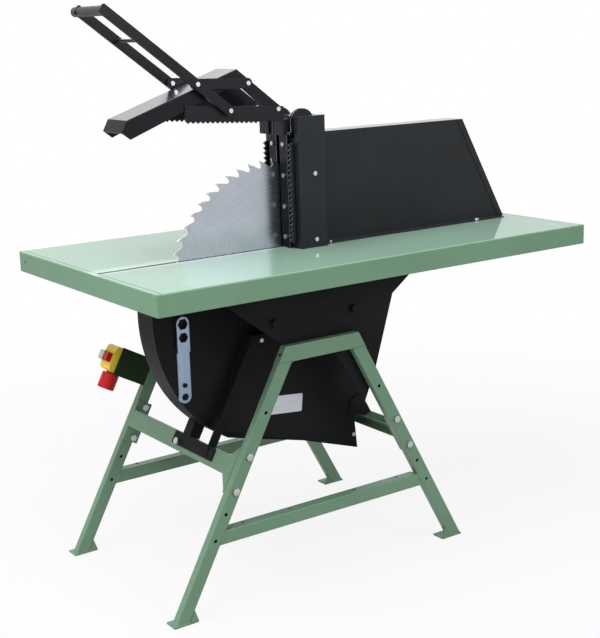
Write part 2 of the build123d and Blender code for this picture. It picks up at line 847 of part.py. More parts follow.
# Blade wrench: a cranked flat bar with hex eyes
wrench_back = housing_near
with BuildPart() as blade_wrench:
    for low, high, step in ((wrench_width / 2, wrench_bend, 0),
                            (wrench_bend - wrench_sheet, wrench_length - wrench_width / 2, 1)):
        with BuildSketch(upright(wrench_back - step * wrench_sheet)):
            with Locations((wrench_x, wrench_foot + (low + high) / 2)):
                Rectangle(wrench_width, high - low)
        extrude(amount=wrench_sheet)
    for end, step in ((wrench_width / 2, 0), (wrench_length - wrench_width / 2, 1)):
        with BuildSketch(upright(wrench_back - step * wrench_sheet)):
            with Locations((wrench_x, wrench_foot + end)):
                Circle(wrench_width / 2)
        extrude(amount=wrench_sheet)
    with BuildSketch(upright(wrench_back)):
        for place, flats in wrench_hexes:
            with Locations((wrench_x, wrench_foot + place)):
                RegularPolygon(flats / 2, 6, major_radius=False)
        with Locations((wrench_x, wrench_foot + wrench_eye)):
            Circle(wrench_eye_r)
    extrude(amount=2 * wrench_sheet, mode=Mode.SUBTRACT)
blade_wrench.part.label = "blade_wrench"
export_step(blade_wrench.part, "parts/blade_wrench.step")

# Screws on the housing: cover screws, bracket bolt and the screws of the side plates
housing_bolt_list = []
for x, z in cover_screws:
    head_plane = Plane(origin=(x, cover_front, z), x_dir=(1, 0, 0), z_dir=(0, -1, 0))
    housing_bolt_list.append(small_screw(head_plane, cover_depth + housing_wall + screw_reach))
bracket_head = leg_plane(-1, cross_beam_z, bracket_bolt[1], bracket_face, bracket_bolt[0])
bracket_grip = bracket_sheet + cross_beam_wall
housing_bolt_list.append(fastener(bracket_head, bolt_flats, bolt_head, bolt_r, bracket_grip, bolt_reach))
for x, z in plate_screws:
    for face, way in ((near_plate_y + side_plate, 1), (far_plate_y, -1)):
        head_plane = Plane(origin=(x, face, z), x_dir=(1, 0, 0), z_dir=(0, way, 0))
        grip = side_plate + tube_wall + screw_reach
        housing_bolt_list.append(fastener(head_plane, screw_flats, screw_head, screw_r, grip))
with BuildPart() as housing_bolts:
    add(housing_bolt_list)
housing_bolts.part.label = "housing_bolts"
export_step(housing_bolts.part, "parts/housing_bolts.step")

# Saw blade: each tooth has a hooked face, a round gullet floor and a long back
tooth_pitch = 360.0 / blade_teeth
tooth_shape = ((0.0, 0.0), (-0.12, 0.75), (0.02, 1.0), (0.22, 0.9), (0.62, 0.42))
tooth_points = []
for tooth in range(blade_teeth):
    for share, depth in tooth_shape:
        angle = math.radians((tooth + share) * tooth_pitch)
        radius = blade_r - depth * gullet_depth
        tooth_points.append((blade_x + radius * math.cos(angle), blade_z + radius * math.sin(angle)))
blade_near = blade_y - blade_thickness / 2
blade_far = blade_y + blade_thickness / 2
with BuildPart() as saw_blade:
    with BuildSketch(upright(blade_far)):
        Polygon(*tooth_points, align=None)
        with Locations((blade_x, blade_z)):
            Circle(arbor_r + running_fit, mode=Mode.SUBTRACT)
    extrude(amount=blade_thickness)
saw_blade.part.label = "saw_blade"
export_step(saw_blade.part, "parts/saw_blade.step")

# Two flanges clamp the blade against the arbor's collar
with BuildPart() as blade_flanges:
    for face in (blade_near, blade_far + flange_thickness):
        with BuildSketch(upright(face)):
            with Locations((blade_x, blade_z)):
                Circle(flange_r)
                Circle(arbor_r + running_fit, mode=Mode.SUBTRACT)
        extrude(amount=flange_thickness)
blade_flanges.part.label = "blade_flanges"
export_step(blade_flanges.part, "parts/blade_flanges.step")

nut_far = blade_near - flange_thickness
with BuildPart() as arbor_nut:
    with BuildSketch(upright(nut_far)):
        with Locations((blade_x, blade_z)):
            RegularPolygon(nut_flats / 2, 6, major_radius=False)
            Circle(arbor_r + running_fit, mode=Mode.SUBTRACT)
    extrude(amount=nut_height)
arbor_nut.part.label = "arbor_nut"
export_step(arbor_nut.part, "parts/arbor_nut.step")

# Spindle housing on the far wall, with two bearings
spindle_end = housing_far + spindle_flange + spindle_barrel
with BuildPart() as spindle_housing:
    with BuildSketch(upright(housing_far + spindle_flange)):
        with Locations((blade_x, blade_z)):
            Circle(spindle_flange_r)
    extrude(amount=spindle_flange)
    with BuildSketch(upright(spindle_end)):
        with Locations((blade_x, blade_z)):
            Circle(spindle_barrel_r)
    extrude(amount=spindle_barrel)
    with BuildSketch(upright(spindle_end)):
        with Locations((blade_x, blade_z)):
            Circle(bearing_r + running_fit)
    extrude(amount=spindle_flange + spindle_barrel, mode=Mode.SUBTRACT)
spindle_housing.part.label = "spindle_housing"
export_step(spindle_housing.part, "parts/spindle_housing.step")

bearing_ends = (housing_far + bearing_inset + bearing_width, spindle_end - bearing_inset)
with BuildPart() as spindle_bearings:
    for face in bearing_ends:
        with BuildSketch(upright(face)):
            with Locations((blade_x, blade_z)):
                Circle(bearing_r)
                Circle(arbor_r + running_fit, mode=Mode.SUBTRACT)
        extrude(amount=bearing_width)
spindle_bearings.part.label = "spindle_bearings"
export_step(spindle_bearings.part, "parts/spindle_bearings.step")

pulley_near = spindle_end + pulley_gap
pulley_far = pulley_near + pulley_width
collar_near = blade_far + flange_thickness
collar_far = housing_far + bearing_inset - running_fit
with BuildPart() as arbor:
    with BuildSketch(upright(pulley_far + running_fit)):
        with Locations((blade_x, blade_z)):
            Circle(arbor_r)
    extrude(amount=pulley_far + running_fit - nut_far + nut_height + arbor_stub)
    with BuildSketch(upright(collar_far)):
        with Locations((blade_x, blade_z)):
            Circle(arbor_collar_r)
    extrude(amount=collar_far - collar_near)
arbor.part.label = "arbor"
export_step(arbor.part, "parts/arbor.step")

belt_middles = (pulley_near + (pulley_width - belt_pitch) / 2, pulley_near + (pulley_width + belt_pitch) / 2)


def grooved_pulley(x, z, rim_r, bore_r):
    """A pulley for two belts, with its grooves as deep as a belt is high."""
    with BuildPart() as pulley:
        with BuildSketch(upright(pulley_far)):
            with Locations((x, z)):
                Circle(rim_r)
                Circle(bore_r + running_fit, mode=Mode.SUBTRACT)
        extrude(amount=pulley_width)
        for middle in belt_middles:
            with BuildSketch(upright(middle + belt_width / 2 + belt_gap)):
                with Locations((x, z)):
                    Circle(rim_r + cut_over)
                    Circle(rim_r - belt_height - belt_gap, mode=Mode.SUBTRACT)
            extrude(amount=belt_width + 2 * belt_gap, mode=Mode.SUBTRACT)
    return pulley.part


arbor_pulley = grooved_pulley(blade_x, blade_z, arbor_pulley_r, arbor_r)
arbor_pulley.label = "arbor_pulley"
export_step(arbor_pulley, "parts/arbor_pulley.step")
motor_pulley = grooved_pulley(motor_x, motor_z, motor_pulley_r, motor_shaft_r)
motor_pulley.label = "motor_pulley"
export_step(motor_pulley, "parts/motor_pulley.step")

# Two belts run round the pulleys, a hair above the groove floors
with BuildSketch() as belt_inside:
    with Locations((blade_x, blade_z)):
        Circle(arbor_pulley_r - belt_height)
    with Locations((motor_x, motor_z)):
        Circle(motor_pulley_r - belt_height)
    make_hull()
with BuildPart() as drive_belts:
    for middle in belt_middles:
        with BuildSketch(upright(middle + belt_width / 2)):
            add(belt_inside.sketch)
            offset(amount=belt_height - belt_gap)
            add(belt_inside.sketch, mode=Mode.SUBTRACT)
        extrude(amount=belt_width)
drive_belts.part.label = "drive_belts"
export_step(drive_belts.part, "parts/drive_belts.step")

# The motor hangs on a plate behind the belts, held by the far standoffs and two lower posts
motor_plate_near = pulley_far + motor_plate_gap
motor_face = motor_plate_near + motor_plate
post_z = motor_z - motor_post_drop
posts = [(motor_x - motor_post_offset, post_z), (motor_x + motor_post_offset, post_z)]
ear_r = 2 * standoff_r
with BuildPart() as motor_carrier:
    with BuildSketch(upright(motor_face)):
        for x, z in standoffs + posts:
            with Locations((x, z)):
                Circle(ear_r)
        make_hull()
        with Locations(*standoffs):
            Circle(standoff_r + running_fit, mode=Mode.SUBTRACT)
        with Locations((motor_x, motor_z)):
            Circle(motor_shaft_r + shaft_hole_gap, mode=Mode.SUBTRACT)
    extrude(amount=motor_plate)
    with BuildSketch(upright(motor_plate_near)):
        with Locations(*posts):
            Circle(motor_post_r)
    extrude(amount=motor_plate_near - housing_far)
motor_carrier.part.label = "motor_carrier"
export_step(motor_carrier.part, "parts/motor_carrier.step")

motor_back = motor_face + motor_flange + motor_body_length
with BuildPart() as motor_body:
    with BuildSketch(upright(motor_face + motor_flange)):
        with Locations((motor_x, motor_z)):
            Circle(motor_flange_r)
    extrude(amount=motor_flange)
    with BuildSketch(upright(motor_back)):
        with Locations((motor_x, motor_z)):
            Circle(motor_r)
        with Locations((motor_x, motor_z)):
            with PolarLocations(motor_r + (motor_fin - motor_fin_root) / 2, motor_fins):
                Rectangle(motor_fin + motor_fin_root, motor_fin_thickness)
    extrude(amount=motor_body_length)
    with BuildSketch(upright(motor_face + motor_shaft_depth)):
        with Locations((motor_x, motor_z)):
            Circle(motor_shaft_r + running_fit)
    extrude(amount=motor_shaft_depth, mode=Mode.SUBTRACT)
motor_body.part.label = "motor_body"
export_step(motor_body.part, "parts/motor_body.step")

with BuildPart() as motor_fan_cover:
    with BuildSketch(upright(motor_back + fan_cover_length)):
        with Locations((motor_x, motor_z)):
            Circle(fan_cover_r)
    extrude(amount=fan_cover_length)
    fillet(motor_fan_cover.edges().group_by(Axis.Y)[-1], radius=fan_edge_r)
    with BuildSketch(upright(motor_back + fan_cover_length - fan_cover_wall)):
        with Locations((motor_x, motor_z)):
            Circle(fan_cover_r - fan_cover_wall)
    extrude(amount=fan_cover_length - fan_cover_wall, mode=Mode.SUBTRACT)
    with BuildSketch(upright(motor_back + fan_cover_length)):
        with Locations((motor_x, motor_z)):
            for ring_r in fan_hole_rings:
                with PolarLocations(ring_r, fan_ring_holes):
                    Circle(fan_hole_r)
    extrude(amount=fan_cover_wall, mode=Mode.SUBTRACT)
motor_fan_cover.part.label = "motor_fan_cover"
export_step(motor_fan_cover.part, "parts/motor_fan_cover.step")

# Terminal box on the motor's side, with the gland that the supply lead would use
box_length, box_height, box_depth = terminal_box
box_inner = motor_x + motor_r + motor_fin
box_middle_y = motor_face + motor_flange + motor_body_length / 2
with BuildPart() as motor_terminal_box:
    with BuildSketch(Plane(origin=(box_inner, box_middle_y, motor_z), x_dir=(0, 1, 0), z_dir=(1, 0, 0))):
        RectangleRounded(box_length, box_height, terminal_corner_r)
    extrude(amount=box_depth)
    with BuildSketch(Plane(origin=(box_inner + box_depth / 2, box_middle_y, motor_z - box_height / 2),
                           x_dir=(1, 0, 0), z_dir=(0, 0, -1))):
        RegularPolygon(gland_r, 6)
    extrude(amount=gland_length)
motor_terminal_box.part.label = "motor_terminal_box"
export_step(motor_terminal_box.part, "parts/motor_terminal_box.step")

with BuildPart() as motor_shaft:
    with BuildSketch(upright(motor_face + motor_shaft_depth - shaft_end_gap)):
        with Locations((motor_x, motor_z)):
            Circle(motor_shaft_r)
    extrude(amount=motor_face + motor_shaft_depth - shaft_end_gap - pulley_near)
motor_shaft.part.label = "motor_shaft"
export_step(motor_shaft.part, "parts/motor_shaft.step")


def roller_span(plate_y, way):
    """The near and far faces of the rollers on one side plate."""
    inner = plate_y + side_plate if way > 0 else plate_y
    near_face = inner + way * roller_stand_off
    far_face = near_face + way * roller_width
    return min(near_face, far_face), max(near_face, far_face)


# Rollers under the table, each on its own axle bolt
axle_list = []
for plate_name, plate_y, way in (("near", near_plate_y, 1), ("far", far_plate_y, -1)):
    low, high = roller_span(plate_y, way)
    outer = plate_y if way > 0 else plate_y + side_plate
    tip = high if way > 0 else low
    seat = low if way > 0 else high
    for place_name, (x, z) in (("front", roller_places[0]), ("rear", roller_places[1])):
        with BuildPart() as roller:
            with BuildSketch(upright(high)):
                with Locations((x, z)):
                    Circle(roller_r)
                    Circle(axle_r + running_fit, mode=Mode.SUBTRACT)
            extrude(amount=roller_width)
            rims = roller.edges().filter_by(GeomType.CIRCLE).group_by(SortBy.RADIUS)[-1]
            fillet(rims, radius=roller_edge_r)
        roller.part.label = plate_name + "_" + place_name + "_roller"
        export_step(roller.part, "parts/" + plate_name + "_" + place_name + "_roller" + ".step")
        head_plane = Plane(origin=(x, outer, z), x_dir=(1, 0, 0), z_dir=(0, -way, 0))
        collar_plane = Plane(origin=(x, seat - way * roller_gap, z), x_dir=(1, 0, 0), z_dir=(0, -way, 0))
        with BuildPart() as axle:
            add(fastener(head_plane, axle_flats, bolt_head, axle_r, abs(tip - outer) + axle_stub))
            with BuildSketch(collar_plane):
                Circle(axle_collar_r)
            extrude(amount=roller_stand_off - roller_gap)
        axle_list.append(axle.part)
with BuildPart() as roller_axles:
    add(axle_list)
roller_axles.part.label = "roller_axles"
export_step(roller_axles.part, "parts/roller_axles.step")

# Two channel rails under the table take the rollers
with BuildPart() as table_rails:
    for inner, way in ((near_plate_y + side_plate, 1), (far_plate_y, -1)):
        mouth = inner + way * rail_stand_off
        web = mouth + way * rail_width
        back = web - way * rail_sheet
        low = table_under - rail_height
        with BuildSketch(Plane(origin=(front_x + rail_front_inset, 0, 0), x_dir=(0, 1, 0), z_dir=(1, 0, 0))):
            Polygon((mouth, table_under), (web, table_under), (web, low), (mouth, low),
                    (mouth, low + rail_sheet), (back, low + rail_sheet), (back, table_under - rail_sheet),
                    (mouth, table_under - rail_sheet), align=None)
        extrude(amount=table_length - rail_front_inset - rail_rear_inset)
table_rails.part.label = "table_rails"
export_step(table_rails.part, "parts/table_rails.step")

# Table sheets with their long skirts, and the end caps that join them
sheet_front = front_x + front_lip + cap_seam
sheet_rear = rear_x - rear_lip - cap_seam
skirt_low = table_height - skirt_depth
slot_near = blade_y - slot_width / 2
slot_far = blade_y + slot_width / 2
flange_middle = hood_half + hood_flange / 2


def table_sheet_half(outer, inner, way):
    """One half of the table top, with its skirt turned down along the outer edge."""
    with BuildPart() as half:
        with BuildSketch(Plane.XY.offset(table_under)):
            Polygon((sheet_front, outer), (sheet_rear, outer), (sheet_rear, inner), (sheet_front, inner),
                    align=None)
            with Locations(*[(column_rear + x, blade_y - way * flange_middle) for x in hood_screws]):
                Circle(small_screw_r + running_fit, mode=Mode.SUBTRACT)
        extrude(amount=table_sheet)
        with BuildSketch(Plane.XY.offset(skirt_low)):
            Polygon((front_x, outer), (rear_x, outer), (rear_x, outer + way * table_sheet),
                    (front_x, outer + way * table_sheet), align=None)
        extrude(amount=skirt_depth)
        top_edges = half.edges().filter_by(Axis.X).group_by(Axis.Z)[-1].sort_by(Axis.Y)
        fillet(top_edges[0] if way > 0 else top_edges[-1], radius=skirt_bend_r)
    return half.part


table_near_sheet = table_sheet_half(near_y, slot_near, 1)
table_near_sheet.label = "table_near_sheet"
export_step(table_near_sheet, "parts/table_near_sheet.step")
table_far_sheet = table_sheet_half(far_y, slot_far, -1)
table_far_sheet.label = "table_far_sheet"
export_step(table_far_sheet, "parts/table_far_sheet.step")

cap_width = table_width - 2 * table_sheet
with BuildPart() as table_end_caps:
    for outer, lip in ((front_x, front_lip), (rear_x, -rear_lip)):
        plate_in = outer + math.copysign(table_sheet, lip)
        with BuildSketch(upright(far_y - table_sheet)):
            Polygon((outer, table_height), (outer + lip, table_height), (outer + lip, table_under),
                    (plate_in, table_under), (plate_in, skirt_low), (outer, skirt_low), align=None)
        extrude(amount=cap_width)
    cap_edges = table_end_caps.edges().filter_by(Axis.Y).group_by(Axis.Z)[-1].sort_by(Axis.X)
    fillet([cap_edges[0], cap_edges[-1]], radius=skirt_bend_r)
    with BuildSketch(Plane(origin=(front_x, far_y - cap_hole_inset, table_height - skirt_depth / 2),
                           x_dir=(0, 1, 0), z_dir=(1, 0, 0))):
        Circle(cap_hole_r)
    extrude(amount=table_sheet, mode=Mode.SUBTRACT)
table_end_caps.part.label = "table_end_caps"
export_step(table_end_caps.part, "parts/table_end_caps.step")

guide_middle = guide_inner + guide_width / 2
guide_face = column_front - guide_spacer - guide_thickness
column_screw_x = column_front + column_depth / 2 + column_screw_shift

# Column: two upright boxes beside the blade, open at the foot, with pockets for the rope pulleys
column_top = table_height + column_height
column_outer = blade_y - column_half
column_inner = blade_y - column_slot_half
cable_front_x = column_front - cable_front
rope_x = cable_front_x + rope_groove_r + cable_gap + cable_r
rope_z = column_top - rope_axle_drop
pocket_r = rope_flange_r + pocket_gap
pocket_half = rope_pulley_width / 2 + pocket_gap
with BuildPart() as column:
    with BuildSketch(Plane.XY.offset(table_height)):
        Polygon((column_front, column_outer), (column_rear, column_outer), (column_rear, column_inner),
                (column_front, column_inner), align=None)
    extrude(amount=column_height)
    fillet(column.edges().filter_by(Axis.Z), radius=column_bend_r)
    with BuildSketch(Plane.XY.offset(table_height)):
        Polygon((column_front, column_outer), (column_rear, column_outer), (column_rear, column_inner),
                (column_front, column_inner), align=None)
        offset(amount=-column_wall, kind=Kind.INTERSECTION)
    extrude(amount=column_height - column_wall, mode=Mode.SUBTRACT)
    with BuildSketch(near(cable_half - pocket_half)):
        with Locations(((column_front + rope_x + pocket_r) / 2, column_top - rope_axle_drop)):
            Rectangle(rope_x + pocket_r - column_front, 2 * pocket_r)
    extrude(amount=2 * pocket_half, mode=Mode.SUBTRACT)
    with BuildSketch(near(column_slot_half)):
        with Locations((rope_x, rope_z)):
            Circle(rope_axle_r + running_fit)
    extrude(amount=column_half - column_slot_half - column_wall, mode=Mode.SUBTRACT)
    with BuildSketch(near(column_half - column_wall)):
        with Locations(*[(column_screw_x, table_height + height) for height in column_screws]):
            Circle(small_screw_r + running_fit)
    extrude(amount=column_wall, mode=Mode.SUBTRACT)
    with BuildSketch(Plane(origin=(column_front, blade_y, table_height), x_dir=(0, 1, 0), z_dir=(1, 0, 0))):
        with Locations(*[(-guide_middle, height) for height in guide_bolts]):
            Circle(small_screw_r + running_fit)
    extrude(amount=column_wall, mode=Mode.SUBTRACT)
    mirror(about=blade_plane)
column.part.label = "column"
export_step(column.part, "parts/column.step")

# Guide bars on their spacers, one each side of the blade
with BuildPart() as guide_bars:
    with BuildSketch(Plane.XY.offset(table_height + guide_foot)):
        with Locations((column_front - guide_spacer - guide_thickness / 2, blade_y - guide_middle)):
            Rectangle(guide_thickness, guide_width)
        with Locations((column_front - guide_spacer / 2, blade_y - guide_middle)):
            Rectangle(guide_spacer, guide_spacer_width)
    extrude(amount=guide_length)
    with BuildSketch(Plane(origin=(guide_face, blade_y, table_height), x_dir=(0, 1, 0), z_dir=(1, 0, 0))):
        with Locations(*[(-guide_middle, height) for height in guide_bolts]):
            Circle(small_screw_r + running_fit)
    extrude(amount=guide_thickness + guide_spacer, mode=Mode.SUBTRACT)
    mirror(about=blade_plane)
guide_bars.part.label = "guide_bars"
export_step(guide_bars.part, "parts/guide_bars.step")

# Toothed strips keep the log from turning
strip_points = [(column_front, table_height + strip_foot)]
for tooth in range(strip_teeth):
    root = table_height + strip_foot + tooth * strip_pitch
    strip_points.append((column_front - strip_depth + strip_tooth, root))
    strip_points.append((column_front - strip_depth, root + strip_tooth_rise))
strip_top = table_height + strip_foot + strip_teeth * strip_pitch
strip_points.append((column_front - strip_depth + strip_tooth, strip_top))
strip_points.append((column_front, strip_top))
with BuildPart() as toothed_strips:
    with BuildSketch(near(strip_inner)):
        Polygon(*strip_points, align=None)
    extrude(amount=strip_thickness)
    mirror(about=blade_plane)
toothed_strips.part.label = "toothed_strips"
export_step(toothed_strips.part, "parts/toothed_strips.step")

# Hood: folded shell with foot flanges, and a slanted rear cover
hood_top = table_height + hood_height
hood_top_rear = column_rear + hood_top_length
hood_foot_rear = column_rear + hood_foot_length
hood_side = [(column_rear, table_height), (hood_foot_rear, table_height), (hood_top_rear, hood_top),
             (column_rear, hood_top)]
with BuildPart() as hood_shell:
    with BuildSketch(near(hood_half - hood_sheet)):
        Polygon(*hood_side, align=None)
    extrude(amount=hood_sheet)
    with BuildSketch(near(0)):
        Polygon((column_rear, hood_top - hood_sheet), (hood_top_rear, hood_top - hood_sheet),
                (hood_top_rear, hood_top), (column_rear, hood_top), align=None)
    extrude(amount=hood_half)
    with BuildSketch(Plane.XY.offset(table_height)):
        Polygon((column_rear, blade_y - hood_half - hood_flange), (column_rear, blade_y - hood_half),
                (hood_foot_rear, blade_y - hood_half),
                (hood_foot_rear - hood_flange_end, blade_y - hood_half - hood_flange), align=None)
        with Locations(*[(column_rear + x, blade_y - flange_middle) for x in hood_screws]):
            Circle(small_screw_r + running_fit, mode=Mode.SUBTRACT)
    extrude(amount=hood_sheet)
    mirror(about=blade_plane)
hood_shell.part.label = "hood_shell"
export_step(hood_shell.part, "parts/hood_shell.step")

cover_half = hood_half + rear_cover_sheet
with BuildPart() as hood_rear_cover:
    with BuildSketch(near(hood_half)):
        Polygon((hood_foot_rear, table_height + hood_sheet), (hood_top_rear, hood_top),
                (hood_top_rear - rear_cover_lip, hood_top),
                (hood_foot_rear - rear_cover_lip, table_height + hood_sheet), align=None)
    extrude(amount=rear_cover_sheet)
    with BuildSketch(near(0)):
        Polygon((hood_foot_rear, table_height + hood_sheet), (hood_top_rear, hood_top),
                (hood_top_rear + rear_cover_sheet, hood_top),
                (hood_foot_rear + rear_cover_sheet, table_height + hood_sheet), align=None)
    extrude(amount=cover_half)
    mirror(about=blade_plane)
hood_rear_cover.part.label = "hood_rear_cover"
export_step(hood_rear_cover.part, "parts/hood_rear_cover.step")

# Screws of the guide bars, column and hood, and the axle of the rope pulleys
hood_bolt_list = []
for way in (-1, 1):
    for height in guide_bolts:
        head_plane = Plane(origin=(guide_face, blade_y + way * guide_middle, table_height + height),
                           x_dir=(0, 1, 0), z_dir=(-1, 0, 0))
        grip = guide_thickness + guide_spacer + column_wall + screw_reach
        hood_bolt_list.append(small_screw(head_plane, grip))
    for height in column_screws:
        head_plane = Plane(origin=(column_screw_x, blade_y + way * column_half, table_height + height),
                           x_dir=(1, 0, 0), z_dir=(0, way, 0))
        grip = column_wall + screw_reach
        hood_bolt_list.append(small_screw(head_plane, grip))
    for x in hood_screws:
        head_plane = Plane(origin=(column_rear + x, blade_y + way * flange_middle, table_height + hood_sheet))
        grip = hood_sheet + table_sheet
        hood_bolt_list.append(small_screw(head_plane, grip, small_screw_nut))
with BuildPart() as hood_bolts:
    add(hood_bolt_list)
    with BuildSketch(near(column_wall - column_half)):
        with Locations((rope_x, rope_z)):
            Circle(rope_axle_r)
    extrude(amount=2 * (column_half - column_wall))
hood_bolts.part.label = "hood_bolts"
export_step(hood_bolts.part, "parts/hood_bolts.step")

# Pivots of the hold-down's parallel linkage: guard at the rear, handle in front of it
rise_cos = math.cos(math.radians(pivot_rise))
rise_sin = math.sin(math.radians(pivot_rise))
crank_cos = math.cos(math.radians(handle_angle))
crank_sin = math.sin(math.radians(handle_angle))
guard_pivot = (pivot_x, pivot_z)
handle_pivot = (pivot_x - pivot_pitch * rise_cos, pivot_z + pivot_pitch * rise_sin)
link_front = (handle_pivot[0] + crank_length * crank_cos, handle_pivot[1] + crank_length * crank_sin)
link_rear = (guard_pivot[0] + crank_length * crank_cos, guard_pivot[1] + crank_length * crank_sin)
beam_inner = guard_half + layer_gap
beam_outer = beam_inner + beam_web
link_inner = beam_outer + layer_gap
link_outer = link_inner + link_bar
handle_inner = link_outer + handle_gap
handle_outer = handle_inner + handle_bar
pin_hole = small_screw_r + running_fit

# Guide shoes ride on the guide bars, each with a lug for its cable
guide_shoe_top = column_top - shoe_top_drop
guide_shoe_foot = guide_shoe_top - shoe_height
lug_top = guide_shoe_foot + lug_height
guide_outer = guide_inner + guide_width
shoe_face = guide_face - slide_gap - guide_shoe_front
shoe_back = column_front - shoe_back_gap
shoe_outer = guide_outer + slide_gap + guide_shoe_wall
spacer_low = guide_middle - guide_spacer_width / 2 - slide_gap
spacer_high = guide_middle + guide_spacer_width / 2 + slide_gap
with BuildPart() as guide_shoes:
    with BuildSketch(Plane.XY.offset(guide_shoe_foot)):
        Polygon((shoe_face, blade_y - guide_shoe_inner), (shoe_back, blade_y - guide_shoe_inner),
                (shoe_back, blade_y - shoe_outer), (shoe_face, blade_y - shoe_outer), align=None)
    extrude(amount=shoe_height)
    with BuildSketch(Plane.XY.offset(guide_shoe_foot)):
        Polygon((guide_face - slide_gap, blade_y - guide_inner + slide_gap),
                (column_front - guide_spacer + slide_gap, blade_y - guide_inner + slide_gap),
                (column_front - guide_spacer + slide_gap, blade_y - spacer_low),
                (shoe_back, blade_y - spacer_low), (shoe_back, blade_y - spacer_high),
                (column_front - guide_spacer + slide_gap, blade_y - spacer_high),
                (column_front - guide_spacer + slide_gap, blade_y - guide_outer - slide_gap),
                (guide_face - slide_gap, blade_y - guide_outer - slide_gap), align=None)
        with Locations((guide_face - slide_gap - head_relief / 2, blade_y - guide_middle)):
            Rectangle(head_relief, 2 * head_relief_half)
    extrude(amount=shoe_height, mode=Mode.SUBTRACT)
    with BuildSketch(Plane.XY.offset(guide_shoe_foot)):
        Polygon((cable_front_x - lug_front, blade_y - shoe_outer),
                (cable_front_x + lug_back, blade_y - shoe_outer),
                (cable_front_x + lug_back, blade_y - shoe_outer - lug_reach),
                (cable_front_x - lug_front, blade_y - shoe_outer - lug_reach), align=None)
    extrude(amount=lug_height)
    mirror(about=blade_plane)
guide_shoes.part.label = "guide_shoes"
export_step(guide_shoes.part, "parts/guide_shoes.step")

# Toothed beams: a web with teeth below and an end plate on the guide shoe
tilt_tan = math.tan(math.radians(beam_tilt))
beam_front = pivot_x - beam_length


def beam_edge(x, drop):
    """A point on the beam at this place along it and this far below its top edge."""
    return (x, pivot_z + beam_top + (pivot_x - x) * tilt_tan - drop)


body_drop = beam_height - beam_tooth
beam_points = [beam_edge(shoe_face, 0), beam_edge(beam_front, 0), beam_edge(beam_front, body_drop)]
for tooth in range(beam_teeth):
    root = beam_front + tooth * beam_tooth_pitch
    beam_points.append(beam_edge(root + 0.5 * beam_tooth_pitch, beam_height))
    beam_points.append(beam_edge(root + beam_tooth_pitch, body_drop))
beam_points.append(beam_edge(shoe_face, body_drop))
end_top = beam_edge(shoe_face, 0)[1]
with BuildPart() as toothed_beams:
    with BuildSketch(arm_side(beam_inner)):
        Polygon(*beam_points, align=None)
        with Locations(guard_pivot, handle_pivot):
            Circle(pin_hole, mode=Mode.SUBTRACT)
    extrude(amount=beam_web)
    with BuildSketch(arm_side(beam_end_inner)):
        Polygon((shoe_face, guide_shoe_foot), (shoe_face, end_top), (shoe_face - beam_end_sheet, end_top),
                (shoe_face - beam_end_sheet, guide_shoe_foot), align=None)
    extrude(amount=beam_outer - beam_end_inner)
    mirror(about=arm_middle)
toothed_beams.part.label = "toothed_beams"
export_step(toothed_beams.part, "parts/toothed_beams.step")


def from_pivot(place):
    """A place counted from the guard's pivot, in the part's own frame."""
    return (pivot_x + place[0], pivot_z + place[1])


guard_nose_top = from_pivot(nose_top_at)
guard_nose_low = from_pivot(nose_low_at)
guard_nose_heel = from_pivot(nose_heel_at)
guard_apex = from_pivot(apex_at)
guard_inner_front = from_pivot(inner_front_at)
guard_inner_top = from_pivot(inner_top_at)
guard_inner_rear = from_pivot(inner_rear_at)

# Guard: two cheeks joined by a roof from the nose to the apex, with a lining sheet on the far side
limb = Vector(guard_pivot[0] - guard_apex[0], guard_pivot[1] - guard_apex[1]).normalized()
lug_upper = (guard_pivot[0] - limb.Y * guard_lug_r, guard_pivot[1] + limb.X * guard_lug_r)
lug_end = (guard_pivot[0] + limb.X * guard_lug_r, guard_pivot[1] + limb.Y * guard_lug_r)
lug_lower = (guard_pivot[0] + limb.Y * guard_lug_r, guard_pivot[1] - limb.X * guard_lug_r)
with BuildSketch() as guard_cheek:
    with BuildLine():
        Polyline(lug_lower, guard_inner_rear, guard_inner_top, guard_inner_front, guard_nose_heel,
                 guard_nose_low, guard_nose_top, guard_apex, lug_upper)
        ThreePointArc(lug_upper, lug_end, lug_lower)
    make_face()
roof_slope = (guard_apex[1] - guard_nose_top[1]) / (guard_apex[0] - guard_nose_top[0])
roof_drop = guard_wall * math.hypot(1, roof_slope)
nose_slope = (guard_nose_top[0] - guard_nose_low[0]) / (guard_nose_top[1] - guard_nose_low[1])
nose_shift = guard_wall * math.hypot(1, nose_slope)
room_low = guard_nose_heel[1] - guard_lug_r
room_top = guard_apex[1] + guard_lug_r
inner_nose = (guard_nose_top[0] + nose_shift, guard_nose_top[1] - roof_drop + nose_shift * roof_slope)
inner_low = (inner_nose[0] - (inner_nose[1] - room_low) * nose_slope, room_low)
lining_foot_z = guard_pivot[1] + lining_foot
lining_nose = guard_pivot[0] - lining_front
lining_rear = from_pivot(lining_rear_at)
lining_roof = guard_nose_top[1] + (lining_nose - guard_nose_top[0]) * roof_slope - roof_drop / 2
roof_line = Axis((0, 0, 0), (1, 0, roof_slope))
